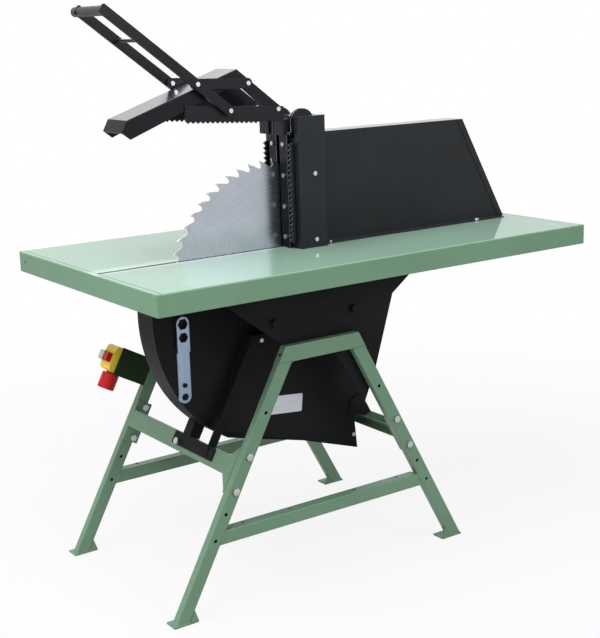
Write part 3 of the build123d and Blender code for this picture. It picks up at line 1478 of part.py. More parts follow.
with BuildPart() as guard_shell:
    with BuildSketch(arm_side(-guard_half)):
        add(guard_cheek.sketch)
    extrude(amount=2 * guard_half)
    fillet(guard_shell.edges().filter_by(roof_line), radius=guard_bend_r)
    with BuildSketch(arm_side(guard_wall - guard_half)):
        Polygon(inner_low, inner_nose, (guard_apex[0], guard_apex[1] - roof_drop), (guard_apex[0], room_top),
                (guard_pivot[0] + 2 * guard_lug_r, room_top), (guard_pivot[0] + 2 * guard_lug_r, room_low),
                align=None)
    extrude(amount=2 * (guard_half - guard_wall), mode=Mode.SUBTRACT)
    with BuildSketch(arm_side(-lining_half)):
        Polygon((lining_nose, lining_foot_z), (lining_nose, lining_roof),
                (guard_apex[0], guard_apex[1] - roof_drop / 2), from_pivot(lining_top_at), lining_rear,
                (lining_rear[0], lining_foot_z), align=None)
    extrude(amount=lining_sheet)
    with BuildSketch(arm_side(-guard_half)):
        with Locations(guard_pivot, link_rear):
            Circle(pin_hole)
    extrude(amount=2 * guard_half, mode=Mode.SUBTRACT)
guard_shell.part.label = "guard_shell"
export_step(guard_shell.part, "parts/guard_shell.step")


def handle_plane(half):
    """The upright plane at the handle's pivot with X running up the handle."""
    return Plane(origin=(handle_pivot[0], arm_y - half, handle_pivot[1]), x_dir=(crank_cos, 0, crank_sin),
                 z_dir=(0, -1, 0))


# Handle: two flat bars with a thin rod between them, and a round grip that stands out past the far bar
with BuildPart() as handle_bars:
    with BuildSketch(handle_plane(handle_inner)):
        with Locations((handle_length / 2, 0)):
            SlotCenterToCenter(handle_length, handle_width)
        with Locations((handle_length + handle_width / 4, 0)):
            RectangleRounded(handle_width / 2, handle_width, handle_corner_r)
        with Locations((0, 0), (crank_length, 0)):
            Circle(pin_hole, mode=Mode.SUBTRACT)
    extrude(amount=handle_bar)
    mirror(about=arm_middle)
    with BuildSketch(handle_plane(-handle_inner)):
        with Locations((cross_rod_at, 0)):
            Circle(cross_rod_r)
    extrude(amount=2 * handle_inner)
handle_bars.part.label = "handle_bars"
export_step(handle_bars.part, "parts/handle_bars.step")

with BuildPart() as handle_grip:
    with BuildSketch(handle_plane(-handle_inner)):
        with Locations((handle_length, 0)):
            Circle(grip_r)
    extrude(amount=2 * handle_inner)
    with BuildSketch(handle_plane(-handle_outer)):
        with Locations((handle_length, 0)):
            Circle(grip_r)
    extrude(amount=-grip_overhang)
handle_grip.part.label = "handle_grip"
export_step(handle_grip.part, "parts/handle_grip.step")

# Top links keep the guard parallel to the handle
link_slope = Vector(link_rear[0] - link_front[0], 0, link_rear[1] - link_front[1]).normalized()
with BuildPart() as top_links:
    with BuildSketch(Plane(origin=(link_front[0], arm_y - link_inner, link_front[1]), x_dir=link_slope,
                           z_dir=(0, -1, 0))):
        with Locations((pivot_pitch / 2, 0)):
            SlotCenterToCenter(pivot_pitch, link_width)
        with Locations((0, 0), (pivot_pitch, 0)):
            Circle(pin_hole, mode=Mode.SUBTRACT)
    extrude(amount=link_bar)
    mirror(about=arm_middle)
top_links.part.label = "top_links"
export_step(top_links.part, "parts/top_links.step")


def arm_bolt(place, head_half, nut_half):
    """A pivot bolt on the near side, from its head to the inner end of its nut."""
    plane = Plane(origin=(place[0], arm_y - head_half, place[1]), x_dir=(1, 0, 0), z_dir=(0, -1, 0))
    return small_screw(plane, head_half - nut_half, small_screw_nut)


# Pivot bolts of the beams, and bolts of the top links with their spacer bushes
pivot_bolt_pair = [arm_bolt(guard_pivot, beam_outer, guard_half - guard_wall - layer_gap),
                   arm_bolt(handle_pivot, handle_outer + slide_gap, beam_inner)]
with BuildPart() as pivot_bolts:
    add(pivot_bolt_pair)
    with BuildSketch(arm_side(beam_outer)):
        with Locations(handle_pivot):
            Circle(bush_r)
    extrude(amount=handle_inner - slide_gap - beam_outer)
    mirror(about=arm_middle)
pivot_bolts.part.label = "pivot_bolts"
export_step(pivot_bolts.part, "parts/pivot_bolts.step")

link_bolt_pair = [arm_bolt(link_front, handle_outer + slide_gap, link_inner),
                  arm_bolt(link_rear, link_outer, guard_half - guard_wall - layer_gap)]
with BuildPart() as link_bolts:
    add(link_bolt_pair)
    with BuildSketch(arm_side(guard_half + slide_gap)):
        with Locations(link_rear):
            Circle(bush_r)
    extrude(amount=link_inner - guard_half - slide_gap)
    with BuildSketch(arm_side(link_outer)):
        with Locations(link_front):
            Circle(bush_r)
    extrude(amount=handle_inner - slide_gap - link_outer)
    mirror(about=arm_middle)
link_bolts.part.label = "link_bolts"
export_step(link_bolts.part, "parts/link_bolts.step")

# Rope pulleys in the column's top
with BuildPart() as rope_pulleys:
    with BuildSketch(near(cable_half - rope_pulley_width / 2)):
        with Locations((rope_x, rope_z)):
            Circle(rope_flange_r)
            Circle(rope_axle_r + running_fit, mode=Mode.SUBTRACT)
    extrude(amount=rope_pulley_width)
    with BuildSketch(near(cable_half - rope_groove_width / 2)):
        with Locations((rope_x, rope_z)):
            Circle(rope_flange_r + cut_over)
            Circle(rope_groove_r, mode=Mode.SUBTRACT)
    extrude(amount=rope_groove_width, mode=Mode.SUBTRACT)
    mirror(about=blade_plane)
rope_pulleys.part.label = "rope_pulleys"
export_step(rope_pulleys.part, "parts/rope_pulleys.step")

# Counterweights inside the column, hung on the cables
cable_rear_x = 2 * rope_x - cable_front_x
weight_low = table_height + weight_foot
with BuildPart() as counterweights:
    with BuildSketch(Plane.XY.offset(weight_low)):
        with Locations((cable_rear_x, blade_y - cable_half)):
            Rectangle(weight_depth, weight_width)
    extrude(amount=weight_height)
    mirror(about=blade_plane)
counterweights.part.label = "counterweights"
export_step(counterweights.part, "parts/counterweights.step")

# Each lift cable has a front run to the shoe's lug, a half turn over its pulley and a rear run to the weight
with BuildPart() as front_cables:
    with BuildSketch(Plane(origin=(cable_front_x, blade_y - cable_half, lug_top))):
        Circle(cable_r)
    extrude(amount=rope_z - lug_top)
    mirror(about=blade_plane)
front_cables.part.label = "front_cables"
export_step(front_cables.part, "parts/front_cables.step")

with BuildPart() as cable_turns:
    with BuildSketch(Plane(origin=(cable_front_x, blade_y - cable_half, rope_z))):
        Circle(cable_r)
    revolve(axis=Axis((rope_x, blade_y - cable_half, rope_z), (0, 1, 0)), revolution_arc=180)
    mirror(about=blade_plane)
cable_turns.part.label = "cable_turns"
export_step(cable_turns.part, "parts/cable_turns.step")

with BuildPart() as rear_cables:
    with BuildSketch(Plane(origin=(cable_rear_x, blade_y - cable_half, weight_low + weight_height))):
        Circle(cable_r)
    extrude(amount=rope_z - weight_low - weight_height)
    mirror(about=blade_plane)
rear_cables.part.label = "rear_cables"
export_step(rear_cables.part, "parts/rear_cables.step")

# Switch: plate welded to the far front leg, case behind its end, button frame, two buttons and mushroom
switch_foot = switch_top - switch_height
case_near = far_frame_y + switch_sheet
switch_root = tube_width / 2 + weld_seam
case_far = case_near + switch_depth
case_middle = (case_near + case_far) / 2
case_top = switch_top - switch_lip
case_foot = switch_foot + switch_foot_lip
case_face = switch_arm + switch_proud
button_middle = (case_top + case_foot) / 2
button_places = {"stop_button": case_middle - button_pitch / 2,
                 "start_button": case_middle + button_pitch / 2}


def switch_point(along, out):
    """A point of the switch, counted along its leg and out from the leg's centre line."""
    return leg_point(-1, switch_z, along, out)


def switch_block(low, high, inner, outer):
    """The outline of a block of the switch between two places along the leg and two distances from it."""
    return [switch_point(low, inner), switch_point(high, inner), switch_point(high, outer),
            switch_point(low, outer)]


with BuildPart() as switch_bracket:
    with BuildSketch(upright(case_near)):
        Polygon(*switch_block(switch_foot, switch_top, switch_root, switch_arm), align=None)
    extrude(amount=switch_sheet)
switch_bracket.part.label = "switch_bracket"
export_step(switch_bracket.part, "parts/switch_bracket.step")

mushroom_x, mushroom_z = switch_point(case_foot, switch_arm - mushroom_back)
mushroom_plane = Plane(origin=(mushroom_x, case_middle, mushroom_z), x_dir=(0, 1, 0),
                       z_dir=(-lean_sin, 0, -lean_cos))
with BuildPart() as switch_case_part:
    with BuildSketch(upright(case_far)):
        Polygon(*switch_block(case_foot, case_top, case_face - switch_case, case_face), align=None)
    extrude(amount=case_far - case_near)
    outer_edges = switch_case_part.edges().filter_by(Axis.Y).sort_by(Axis.X)[:2]
    fillet(outer_edges, radius=switch_corner_r)
    for middle in button_places.values():
        with BuildSketch(leg_plane(-1, switch_z, button_middle, case_face, middle)):
            Rectangle(button_width + 2 * button_gap, button_length + 2 * button_gap)
        extrude(amount=-button_seat - button_travel - button_gap, mode=Mode.SUBTRACT)
    with BuildSketch(mushroom_plane):
        Circle(mushroom_stem_r + running_fit)
    extrude(amount=-mushroom_stem - mushroom_travel, mode=Mode.SUBTRACT)
switch_case_part.part.label = "switch_case"
export_step(switch_case_part.part, "parts/switch_case.step")

with BuildPart() as switch_panel:
    with BuildSketch(leg_plane(-1, switch_z, button_middle, case_face, case_middle)):
        Rectangle(button_pitch + button_width + 2 * panel_border, button_length + 2 * panel_border)
        with Locations((-button_pitch / 2, 0), (button_pitch / 2, 0)):
            Rectangle(button_width + 2 * button_gap, button_length + 2 * button_gap, mode=Mode.SUBTRACT)
    extrude(amount=switch_lip)
switch_panel.part.label = "switch_panel"
export_step(switch_panel.part, "parts/switch_panel.step")

for button_name, middle in button_places.items():
    with BuildPart() as button:
        with BuildSketch(leg_plane(-1, switch_z, button_middle, case_face - button_seat, middle)):
            RectangleRounded(button_width, button_length, button_corner_r)
        extrude(amount=button_seat + button_rise)
    button.part.label = button_name
    export_step(button.part, "parts/" + button_name + ".step")

with BuildPart() as stop_mushroom:
    with BuildSketch(mushroom_plane.offset(-mushroom_stem)):
        Circle(mushroom_stem_r)
    extrude(amount=mushroom_stem + mushroom_travel + mushroom_height)
    with BuildSketch(mushroom_plane.offset(mushroom_travel)):
        Circle(mushroom_r)
    extrude(amount=mushroom_height)
    rims = stop_mushroom.edges().filter_by(GeomType.CIRCLE).group_by(SortBy.RADIUS)[-1]
    fillet(rims, radius=mushroom_edge_r)
stop_mushroom.part.label = "stop_mushroom"
export_step(stop_mushroom.part, "parts/stop_mushroom.step")
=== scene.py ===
import logging
import math
from dataclasses import dataclass
from enum import Enum
from functools import cache
from typing import Any, ClassVar, Sequence

import bmesh
import bpy
from mathutils import Matrix, Vector

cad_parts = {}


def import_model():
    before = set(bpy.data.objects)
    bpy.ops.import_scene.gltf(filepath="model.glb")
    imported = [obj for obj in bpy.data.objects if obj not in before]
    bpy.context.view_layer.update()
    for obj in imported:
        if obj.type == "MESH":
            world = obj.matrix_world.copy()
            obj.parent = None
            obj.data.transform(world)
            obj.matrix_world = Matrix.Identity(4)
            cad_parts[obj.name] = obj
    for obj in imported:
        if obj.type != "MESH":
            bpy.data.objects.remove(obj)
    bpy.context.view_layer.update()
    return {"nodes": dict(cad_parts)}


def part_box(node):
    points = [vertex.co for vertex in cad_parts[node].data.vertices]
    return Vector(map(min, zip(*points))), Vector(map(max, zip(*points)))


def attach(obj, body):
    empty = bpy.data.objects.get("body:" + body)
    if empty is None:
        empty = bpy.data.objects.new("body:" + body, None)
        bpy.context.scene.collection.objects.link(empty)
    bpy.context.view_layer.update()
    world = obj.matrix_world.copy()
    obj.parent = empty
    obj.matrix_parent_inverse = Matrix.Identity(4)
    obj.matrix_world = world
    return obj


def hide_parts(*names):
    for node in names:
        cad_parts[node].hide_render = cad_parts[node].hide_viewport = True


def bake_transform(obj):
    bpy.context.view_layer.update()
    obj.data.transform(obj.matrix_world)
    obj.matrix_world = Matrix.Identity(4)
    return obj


log = logging.getLogger("table_saw")

Colour = tuple[float, float, float]
Point = tuple[float, float, float]
Pair = tuple[float, float]
Mesh = bmesh.types.BMesh
Sockets = dict[str | int, Any]

WHITE: Colour = (1.0, 1.0, 1.0)
CORNERS = ((-1, -1), (-1, 1), (1, -1), (1, 1))


def shade(colour: Colour, amount: float) -> Colour:
    """A colour made lighter or darker by an amount."""
    return tuple(min(1.0, part * amount) for part in colour)


@dataclass(frozen=True)
class Signal:
    """A shader socket that takes part in plain arithmetic."""

    shader: "Shader"
    socket: bpy.types.NodeSocket | None

    def __add__(self, other: "Signal | float") -> "Signal":
        """This plus the other."""
        return self.shader.math("ADD", self, other)

    def __radd__(self, other: float) -> "Signal":
        """A number plus this."""
        return self.shader.math("ADD", other, self)

    def __sub__(self, other: "Signal | float") -> "Signal":
        """This minus the other."""
        return self.shader.math("SUBTRACT", self, other)

    def __rsub__(self, other: float) -> "Signal":
        """A number minus this."""
        return self.shader.math("SUBTRACT", other, self)

    def __mul__(self, other: "Signal | float") -> "Signal":
        """This times the other."""
        return self.shader.math("MULTIPLY", self, other)

    def __rmul__(self, other: float) -> "Signal":
        """A number times this."""
        return self.shader.math("MULTIPLY", other, self)

    def __pow__(self, power: float) -> "Signal":
        """This to a power."""
        return self.shader.math("POWER", self, power)


@dataclass(frozen=True)
class Pattern:
    """Noise: cells in a metre, octaves, weight of the fine ones, axis scales and the span of its patches."""

    scale: float
    detail: float = 2.0
    roughness: float = 0.5
    stretch: Point = (1.0, 1.0, 1.0)
    span: Pair = (0.3, 0.7)


@dataclass(frozen=True)
class Relief:
    """How strongly a bump shows, and its depth in metres."""

    strength: float
    depth: float


class Shader:
    """The node tree of one material, with the few nodes that the finishes share."""

    BEVEL_SAMPLES = 6
    HOLLOW_SAMPLES = 4
    EDGE_SPAN = (0.01, 0.22)
    UPWARD_SPAN = (0.55, 0.95)

    def __init__(self, tree: bpy.types.NodeTree) -> None:
        """Start from an empty tree."""
        self.tree = tree
        self.tree.nodes.clear()

    def node(self, kind: str, sockets: Sockets | None = None, settings: dict[str, Any] | None = None,
             output: str | int = 0) -> Signal:
        """Add one node.

        Args:
            kind: the node's type without its ShaderNode.
            sockets: values or signals for its inputs, by name or number.
            settings: its own settings, which are set first.
            output: the output that is wanted.

        Returns:
            That output.
        """
        made = self.tree.nodes.new(f"ShaderNode{kind}")
        for name, value in (settings or {}).items():
            setattr(made, name, value)
        for name, value in (sockets or {}).items():
            socket = made.inputs[name]
            if isinstance(value, Signal):
                self.tree.links.new(value.socket, socket)
            elif socket.type == "RGBA":
                socket.default_value = (*value, 1.0)
            else:
                socket.default_value = value
        return Signal(self, made.outputs[output] if len(made.outputs) else None)

    def math(self, operation: str, *values: Signal | float) -> Signal:
        """The result of a Math node with these values in order."""
        return self.node("Math", dict(enumerate(values)), {"operation": operation})

    def place(self) -> Signal:
        """The point on the object, in metres."""
        return self.node("TexCoord", output="Object")

    def axis(self, vector: Signal, name: str) -> Signal:
        """One coordinate of a vector."""
        return self.node("SeparateXYZ", {0: vector}, output=name)

    def pair(self, first: Signal, second: Signal) -> Signal:
        """A vector of two values."""
        return self.node("CombineXYZ", {0: first, 1: second})

    def noise(self, pattern: Pattern, vector: Signal | None = None) -> Signal:
        """Add a noise texture.

        Args:
            pattern: what the noise is like.
            vector: where it is read, the point on the object if left out.

        Returns:
            Its value, from 0 to 1.
        """
        if vector is None:
            vector = self.node("Mapping", {"Vector": self.place(), "Scale": pattern.stretch})
        sockets = {"Vector": vector, "Scale": pattern.scale, "Detail": pattern.detail,
                   "Roughness": pattern.roughness}
        return self.node("TexNoise", sockets)

    def fade(self, value: Signal, low: float, high: float) -> Signal:
        """A smooth step of a value from low to high."""
        sockets = {"Value": value, "From Min": low, "From Max": high}
        return self.node("MapRange", sockets, {"interpolation_type": "SMOOTHSTEP"})

    def patches(self, pattern: Pattern) -> Signal:
        """One where a pattern is strong."""
        return self.fade(self.noise(pattern), *pattern.span)

    def blend(self, factor: Signal | float, first: Signal | Colour, second: Signal | Colour) -> Signal:
        """Two colours mixed, with the factor as the share of the second."""
        return self.node("Mix", {"Factor": factor, "A": first, "B": second}, {"data_type": "RGBA"}, "Result")

    def normal(self) -> Signal:
        """The surface's own normal."""
        return self.node("NewGeometry", output="Normal")

    def rounded(self, radius: float) -> Signal:
        """The normal of the surface with its edges rounded."""
        return self.node("Bevel", {"Radius": radius}, {"samples": self.BEVEL_SAMPLES})

    def edge(self, radius: float) -> Signal:
        """Find the edges.

        Args:
            radius: how far they reach.

        Returns:
            One along them, fading out.
        """
        sockets = {0: self.rounded(radius), 1: self.normal()}
        alike = self.node("VectorMath", sockets, {"operation": "DOT_PRODUCT"}, "Value")
        return self.fade(1.0 - alike, *self.EDGE_SPAN)

    def upward(self) -> Signal:
        """One where the surface looks up."""
        return self.fade(self.axis(self.normal(), "Z"), *self.UPWARD_SPAN)

    def hollow(self, reach: float) -> Signal:
        """One in hollows and joints that are closed in within a reach."""
        settings = {"samples": self.HOLLOW_SAMPLES}
        return 1.0 - self.node("AmbientOcclusion", {"Distance": reach}, settings, "AO")

    def relief(self, height: Signal, relief: Relief, radius: float | None = None) -> Signal:
        """Add a Bump node.

        Args:
            height: the bump's height, from 0 to 1.
            relief: its strength and depth.
            radius: how far the edges under it are rounded, if they are.

        Returns:
            The new normal.
        """
        sockets = {"Height": height, "Strength": relief.strength, "Distance": relief.depth}
        if radius is not None:
            sockets["Normal"] = self.rounded(radius)
        return self.node("Bump", sockets)

    def surface(self, tone: Signal, rough: Signal, normal: Signal, rest: Sockets | None = None) -> None:
        """End the tree in a Principled shader.

        Args:
            tone: its colour.
            rough: its roughness.
            normal: its normal.
            rest: its other sockets.
        """
        sockets = {"Base Color": tone, "Roughness": rough, "Normal": normal, **(rest or {})}
        shader = self.node("BsdfPrincipled", sockets)
        self.node("OutputMaterial", {"Surface": shader})


@dataclass(frozen=True)
class Layer:
    """A tone laid over another: a colour, or an amount of the finish's own, with its share and its span."""

    tone: float | Colour
    share: float = 1.0
    span: Pair | None = None


class Grain(Enum):
    """The way that the tool marks of a metal run."""

    ALONG_X = Pattern(1.0, 3.0, 0.6, (6.0, 700.0, 700.0))
    ALONG_Z = Pattern(1.0, 3.0, 0.6, (700.0, 700.0, 6.0))
    ROUND_Y = Pattern(1.0, 3.0, 0.6, (40.0, 900.0, 40.0))
    OPEN = Pattern(1.0, 3.0, 0.6, (90.0, 90.0, 90.0))


@dataclass(frozen=True)
class Finish:
    """A surface finish with its own node tree."""

    name: str
    colour: Colour

    def lay(self, shader: Shader) -> None:
        """Draw the finish in a tree."""
        raise NotImplementedError

    def drift(self, share: Signal, tones: Pair) -> Signal:
        """The colour, wandering from one amount of it to another by a share."""
        return share.shader.blend(share, *(shade(self.colour, tone) for tone in tones))

    def layered(self, tone: Signal | Colour, *layers: tuple[Layer, Signal]) -> Signal:
        """Lay layers over a tone.

        Args:
            tone: the tone.
            layers: each layer, and how much of it lies there: a share, or a value for its span.

        Returns:
            All of them together.
        """
        for layer, where in layers:
            shader = where.shader
            share = shader.fade(where, *layer.span) if layer.span else where
            over = shade(self.colour, layer.tone) if isinstance(layer.tone, float) else layer.tone
            tone = shader.blend(share * layer.share, tone, over)
        return tone

    @cache
    def material(self) -> bpy.types.Material:
        """Make the finish's material, when it is first wanted.

        Returns:
            The material.
        """
        made = bpy.data.materials.new(self.name)
        made.use_nodes = True
        self.lay(Shader(made.node_tree))
        return made


@dataclass(frozen=True)
class Enamel(Finish):
    """Sprayed enamel over welded tube and folded sheet, paler along the edges as wear and painted highlight,
    polished on top, and painted paler on top as painted light from above.
    """

    rough: float
    coat: float
    level: float
    polish: float = 0.0
    coat_rough: float = 0.10
    peel: float = 360.0
    peel_strength: float = 0.10
    edge_radius: float = 0.0016
    wear: float = 0.5
    rubs: float = 0.0
    # How far what looks up is painted paler: painted light from above.
    painted_top_light: float = 0.0

    DRIFT = Pattern(3.2, 3.0)
    DRIFT_TONES = (0.95, 1.05)
    CLOUD = Pattern(26.0, 4.0, 0.6, span=(0.3, 0.8))
    CLOUDY = Layer(0.93, 0.25, (0.45, 0.75))
    CLOUD_ROUGH = 0.10
    # Painted light: the paler tone of what looks up, as if lit from above.
    TOP_LIGHT_TONE = Layer((0.42, 0.56, 0.54))
    # Paler edges: partly worn paint, partly a painted highlight.
    PALE_EDGE = Layer(1.35, 0.4)
    CHIPS = Pattern(210.0, 5.0, 0.7, span=(0.57, 0.62))
    CHIPPED = Layer((0.33, 0.35, 0.34))
    CHIP_ROUGH = 0.2
    RUB = Pattern(1.0, 3.0, stretch=(4.0, 170.0, 170.0), span=(0.58, 0.74))
    RUBBED = Layer(1.18, 0.5)
    RUB_ROUGH = 0.08
    PEEL_DETAIL = 1.5
    PEEL_DEPTH = 0.0003

    def lay(self, shader: Shader) -> None:
        """Drift of tone, orange peel, chipped edges, paler edges that are partly wear and partly a painted
        highlight, a top painted paler as painted light from above, and a polished, rubbed top where the work
        slides.

        Args:
            shader: the tree.
        """
        edge = shader.edge(self.edge_radius)
        top = shader.upward()
        chips = shader.patches(self.CHIPS) * edge * self.wear
        rub = shader.patches(self.RUB) * top * self.rubs
        tone = self.drift(shader.patches(self.DRIFT), self.DRIFT_TONES)
        tone = self.layered(tone, (self.CLOUDY, shader.noise(self.CLOUD)), (self.TOP_LIGHT_TONE, top * self.painted_top_light),
                            (self.PALE_EDGE, edge), (self.CHIPPED, chips), (self.RUBBED, rub))
        rough = self.rough + self.CLOUD_ROUGH * shader.patches(self.CLOUD)
        rough = rough + self.RUB_ROUGH * rub + self.CHIP_ROUGH * chips
        peel = shader.noise(Pattern(self.peel, self.PEEL_DETAIL))
        normal = shader.relief(peel, Relief(self.peel_strength, self.PEEL_DEPTH), self.edge_radius)
        shader.surface(self.used(shader, tone), rough, normal, {
            "Coat Weight": self.coat + self.polish * top, "Coat Roughness": self.coat_rough,
            "Specular IOR Level": self.level})

    def used(self, shader: Shader, tone: Signal) -> Signal:
        """The tone with the marks of its use, of which plain enamel has none."""
        return tone


@dataclass(frozen=True)
class TableEnamel(Enamel):
    """Enamel with dirt in the seam behind the table's front lip, and pale along the blade slot, partly
    rubbed paint and partly a painted highlight.
    """

    seam: float = -0.6216
    seam_half: float = 0.0013
    slot: float = -0.059
    slot_half: float = 0.007
    rub_and_highlight_near: float = 0.020
    rub_and_highlight_far: float = 0.050

    DIRTY = Layer(0.45, 0.75)
    STREAKS = Pattern(1.0, 3.0, stretch=(9.0, 260.0, 260.0))
    STREAK_SHARE = 0.5
    EVEN_SHARE = 0.2
    # The pale band along the slot: partly rubbed paint, partly a painted highlight.
    PALE = Layer((0.60, 0.66, 0.69))

    def used(self, shader: Shader, tone: Signal) -> Signal:
        """Darken the seam and make a band along the slot pale, partly rubbed paint and partly a painted
        highlight, both on what looks up.

        Args:
            shader: the tree.
            tone: the enamel's tone.

        Returns:
            The tone with both.
        """
        place = shader.place()
        top = shader.upward()
        off_seam = shader.math("ABSOLUTE", shader.axis(place, "X") - self.seam)
        off_slot = shader.axis(place, "Y") - self.slot
        dirt = 1.0 - shader.fade(off_seam, self.seam_half, 2.0 * self.seam_half)
        band = shader.fade(off_slot, -self.slot_half - self.rub_and_highlight_near, -self.slot_half)
        band = band * (1.0 - shader.fade(off_slot, self.slot_half, self.slot_half + self.rub_and_highlight_far))
        streaks = self.EVEN_SHARE + self.STREAK_SHARE * shader.noise(self.STREAKS)
        return self.layered(tone, (self.DIRTY, dirt * top), (self.PALE, band * top * streaks))


@dataclass(frozen=True)
class PowderCoat(Finish):
    """Baked black powder on sheet, with a fine pebble and edges rubbed grey."""

    colour: Colour = (0.0085, 0.0088, 0.0100)
    rough: float = 0.40
    level: float = 0.06
    polish: float = 0.0
    coat_rough: float = 0.06
    pebble: float = 0.13
    edge_radius: float = 0.0012
    edge_tone: float = 5.0
    dust: float = 0.35

    DRIFT = Pattern(5.0, 3.0)
    DRIFT_TONES = (0.85, 1.25)
    EDGE_SHARE = 0.55
    SCUFF = Pattern(1.0, 4.0, 0.7, (22.0, 60.0, 160.0))
    SCUFFED = Layer(3.0, 0.25, (0.63, 0.72))
    CLOUD = Pattern(34.0, 4.0, 0.65, span=(0.3, 0.8))
    CLOUD_ROUGH = 0.09
    DUST = Pattern(34.0, 4.0, 0.65, span=(0.4, 0.75))
    DUSTY = Layer((0.16, 0.15, 0.14), 0.12)
    DUST_ROUGH = 0.12
    COARSE = Pattern(560.0)
    FINE = Pattern(1500.0, 1.0)
    FINE_SHARE = 0.5
    PEBBLE_DEPTH = 0.0004

    def lay(self, shader: Shader) -> None:
        """Pebble, slow drift of tone, grey edges, scuffs and a little dust on what looks up.

        Args:
            shader: the tree.
        """
        top = shader.upward()
        dust = top * shader.patches(self.DUST) * self.dust
        edged = Layer(self.edge_tone, self.EDGE_SHARE)
        tone = self.drift(shader.patches(self.DRIFT), self.DRIFT_TONES)
        tone = self.layered(tone, (edged, shader.edge(self.edge_radius)),
                            (self.SCUFFED, shader.noise(self.SCUFF)), (self.DUSTY, dust))
        rough = self.rough + self.CLOUD_ROUGH * shader.patches(self.CLOUD) + self.DUST_ROUGH * dust
        pebble = shader.noise(self.COARSE) + self.FINE_SHARE * shader.noise(self.FINE)
        normal = shader.relief(pebble, Relief(self.pebble, self.PEBBLE_DEPTH), self.edge_radius)
        shader.surface(tone, rough, normal, {
            "Coat Weight": self.polish * top, "Coat Roughness": self.coat_rough,
            "Specular IOR Level": self.level})


@dataclass(frozen=True)
class BladeSteel(Finish):
    """Saw plate ground in rings about its own axis, with bright teeth."""

    colour: Colour = (0.40, 0.43, 0.49)
    rough: float = 0.24
    axis: Pair = (-0.145, 0.7175)
    tooth_root: float = 0.281
    tip: float = 0.300
    edge_radius: float = 0.0008
    rounding: float = 0.0004

    RING = Pattern(1.0, 3.0, 0.6)
    # Rings in a metre and changes in a radian
    FINE = (1300.0, 2.2)
    BROAD = (150.0, 1.1)
    FINE_TONES = (0.86, 1.10)
    FINE_ROUGH = 0.08
    RELIEF = Relief(0.05, 0.0003)
    DULL = Layer(0.80, 0.4, (0.5, 0.8))
    SWEEP = Pattern(1.0)
    SWEEP_TURN = 2.6
    SWEEP_RADIUS = 5.0
    BRIGHT = Layer(1.18, 0.35, (0.35, 0.7))
    HEAT_REACH = 0.022
    HEATED = Layer((0.42, 0.40, 0.37), 0.25)
    TIP_REACH = (0.008, 0.003)
    TIPPED = Layer((0.74, 0.76, 0.78), 0.7)
    TIP_SMOOTH = 0.03
    EDGED = Layer((0.8, 0.82, 0.84), 0.35)
    STAIN = Pattern(46.0, 5.0, 0.65, span=(0.60, 0.75))
    STAINED = Layer((0.24, 0.21, 0.18), 0.22)
    STAIN_ROUGH = 0.10

    def lay(self, shader: Shader) -> None:
        """Rings of the grinding wheel, a few deeper ones, heat tint by the gullets and bright tips.

        Args:
            shader: the tree.
        """
        place = shader.place()
        across = shader.axis(place, "X") - self.axis[0]
        rise = shader.axis(place, "Z") - self.axis[1]
        radius = (across * across + rise * rise) ** 0.5
        turn = shader.math("ARCTAN2", rise, across)
        fine, broad = (shader.noise(self.RING, shader.pair(radius * pitch, turn * arc))
                       for pitch, arc in (self.FINE, self.BROAD))
        sweep = shader.noise(self.SWEEP, shader.pair(turn * self.SWEEP_TURN, radius * self.SWEEP_RADIUS))
        heat = shader.fade(radius, self.tooth_root - self.HEAT_REACH, self.tooth_root)
        tips = shader.fade(radius, *(self.tip - reach for reach in self.TIP_REACH))
        stain = shader.patches(self.STAIN)
        tone = self.drift(shader.fade(fine, *self.RING.span), self.FINE_TONES)
        tone = self.layered(tone, (self.DULL, broad), (self.BRIGHT, sweep), (self.HEATED, heat),
                            (self.TIPPED, tips), (self.EDGED, shader.edge(self.edge_radius)),
                            (self.STAINED, stain))
        rough = self.rough + self.FINE_ROUGH * fine + self.STAIN_ROUGH * stain - self.TIP_SMOOTH * tips
        normal = shader.relief(fine, self.RELIEF, self.rounding)
        shader.surface(tone, rough, normal, {"Metallic": 1.0})


@dataclass(frozen=True)
class Steel(Finish):
    """Bare or plated steel with the marks of the tool that made it."""

    rough: float = 0.3
    grain: Grain = Grain.OPEN
    marks: float = 0.10
    tarnish: float = 0.3
    tint: Colour = (0.30, 0.28, 0.26)
    # How much brighter the edges are painted: a painted highlight.
    edge_tone: float = 1.45
    edge_radius: float = 0.0007

    LINE_TONES = (0.86, 1.12)
    LINE_ROUGH = 0.12
    LINE_DEPTH = 0.0004
    CLOUD = Pattern(60.0, 5.0, 0.65, span=(0.4, 0.8))
    CLOUD_SPAN = (0.48, 0.75)
    CLOUD_ROUGH = 0.15
    SPOTS = Pattern(420.0, 4.0, 0.7)
    SPOT_SPAN = (0.58, 0.72)
    SPOT_SHARE = 0.6
    SPOT_TONE = 0.7
    EDGE_SHARE = 0.5

    def lay(self, shader: Shader) -> None:
        """Tool marks, cloudy tarnish with darker spots, and edges painted bright as a painted highlight.

        Args:
            shader: the tree.
        """
        lines = shader.noise(self.grain.value)
        clouded = Layer(self.tint, self.tarnish, self.CLOUD_SPAN)
        spotted = Layer(shade(self.tint, self.SPOT_TONE), self.tarnish * self.SPOT_SHARE, self.SPOT_SPAN)
        edged = Layer(self.edge_tone, self.EDGE_SHARE)
        tone = self.drift(shader.fade(lines, *self.grain.value.span), self.LINE_TONES)
        tone = self.layered(tone, (clouded, shader.noise(self.CLOUD)), (spotted, shader.noise(self.SPOTS)),
                            (edged, shader.edge(self.edge_radius)))
        dull = self.CLOUD_ROUGH * shader.patches(self.CLOUD) * self.tarnish
        normal = shader.relief(lines, Relief(self.marks, self.LINE_DEPTH), self.edge_radius)
        shader.surface(tone, self.rough + self.LINE_ROUGH * lines + dull, normal, {"Metallic": 1.0})


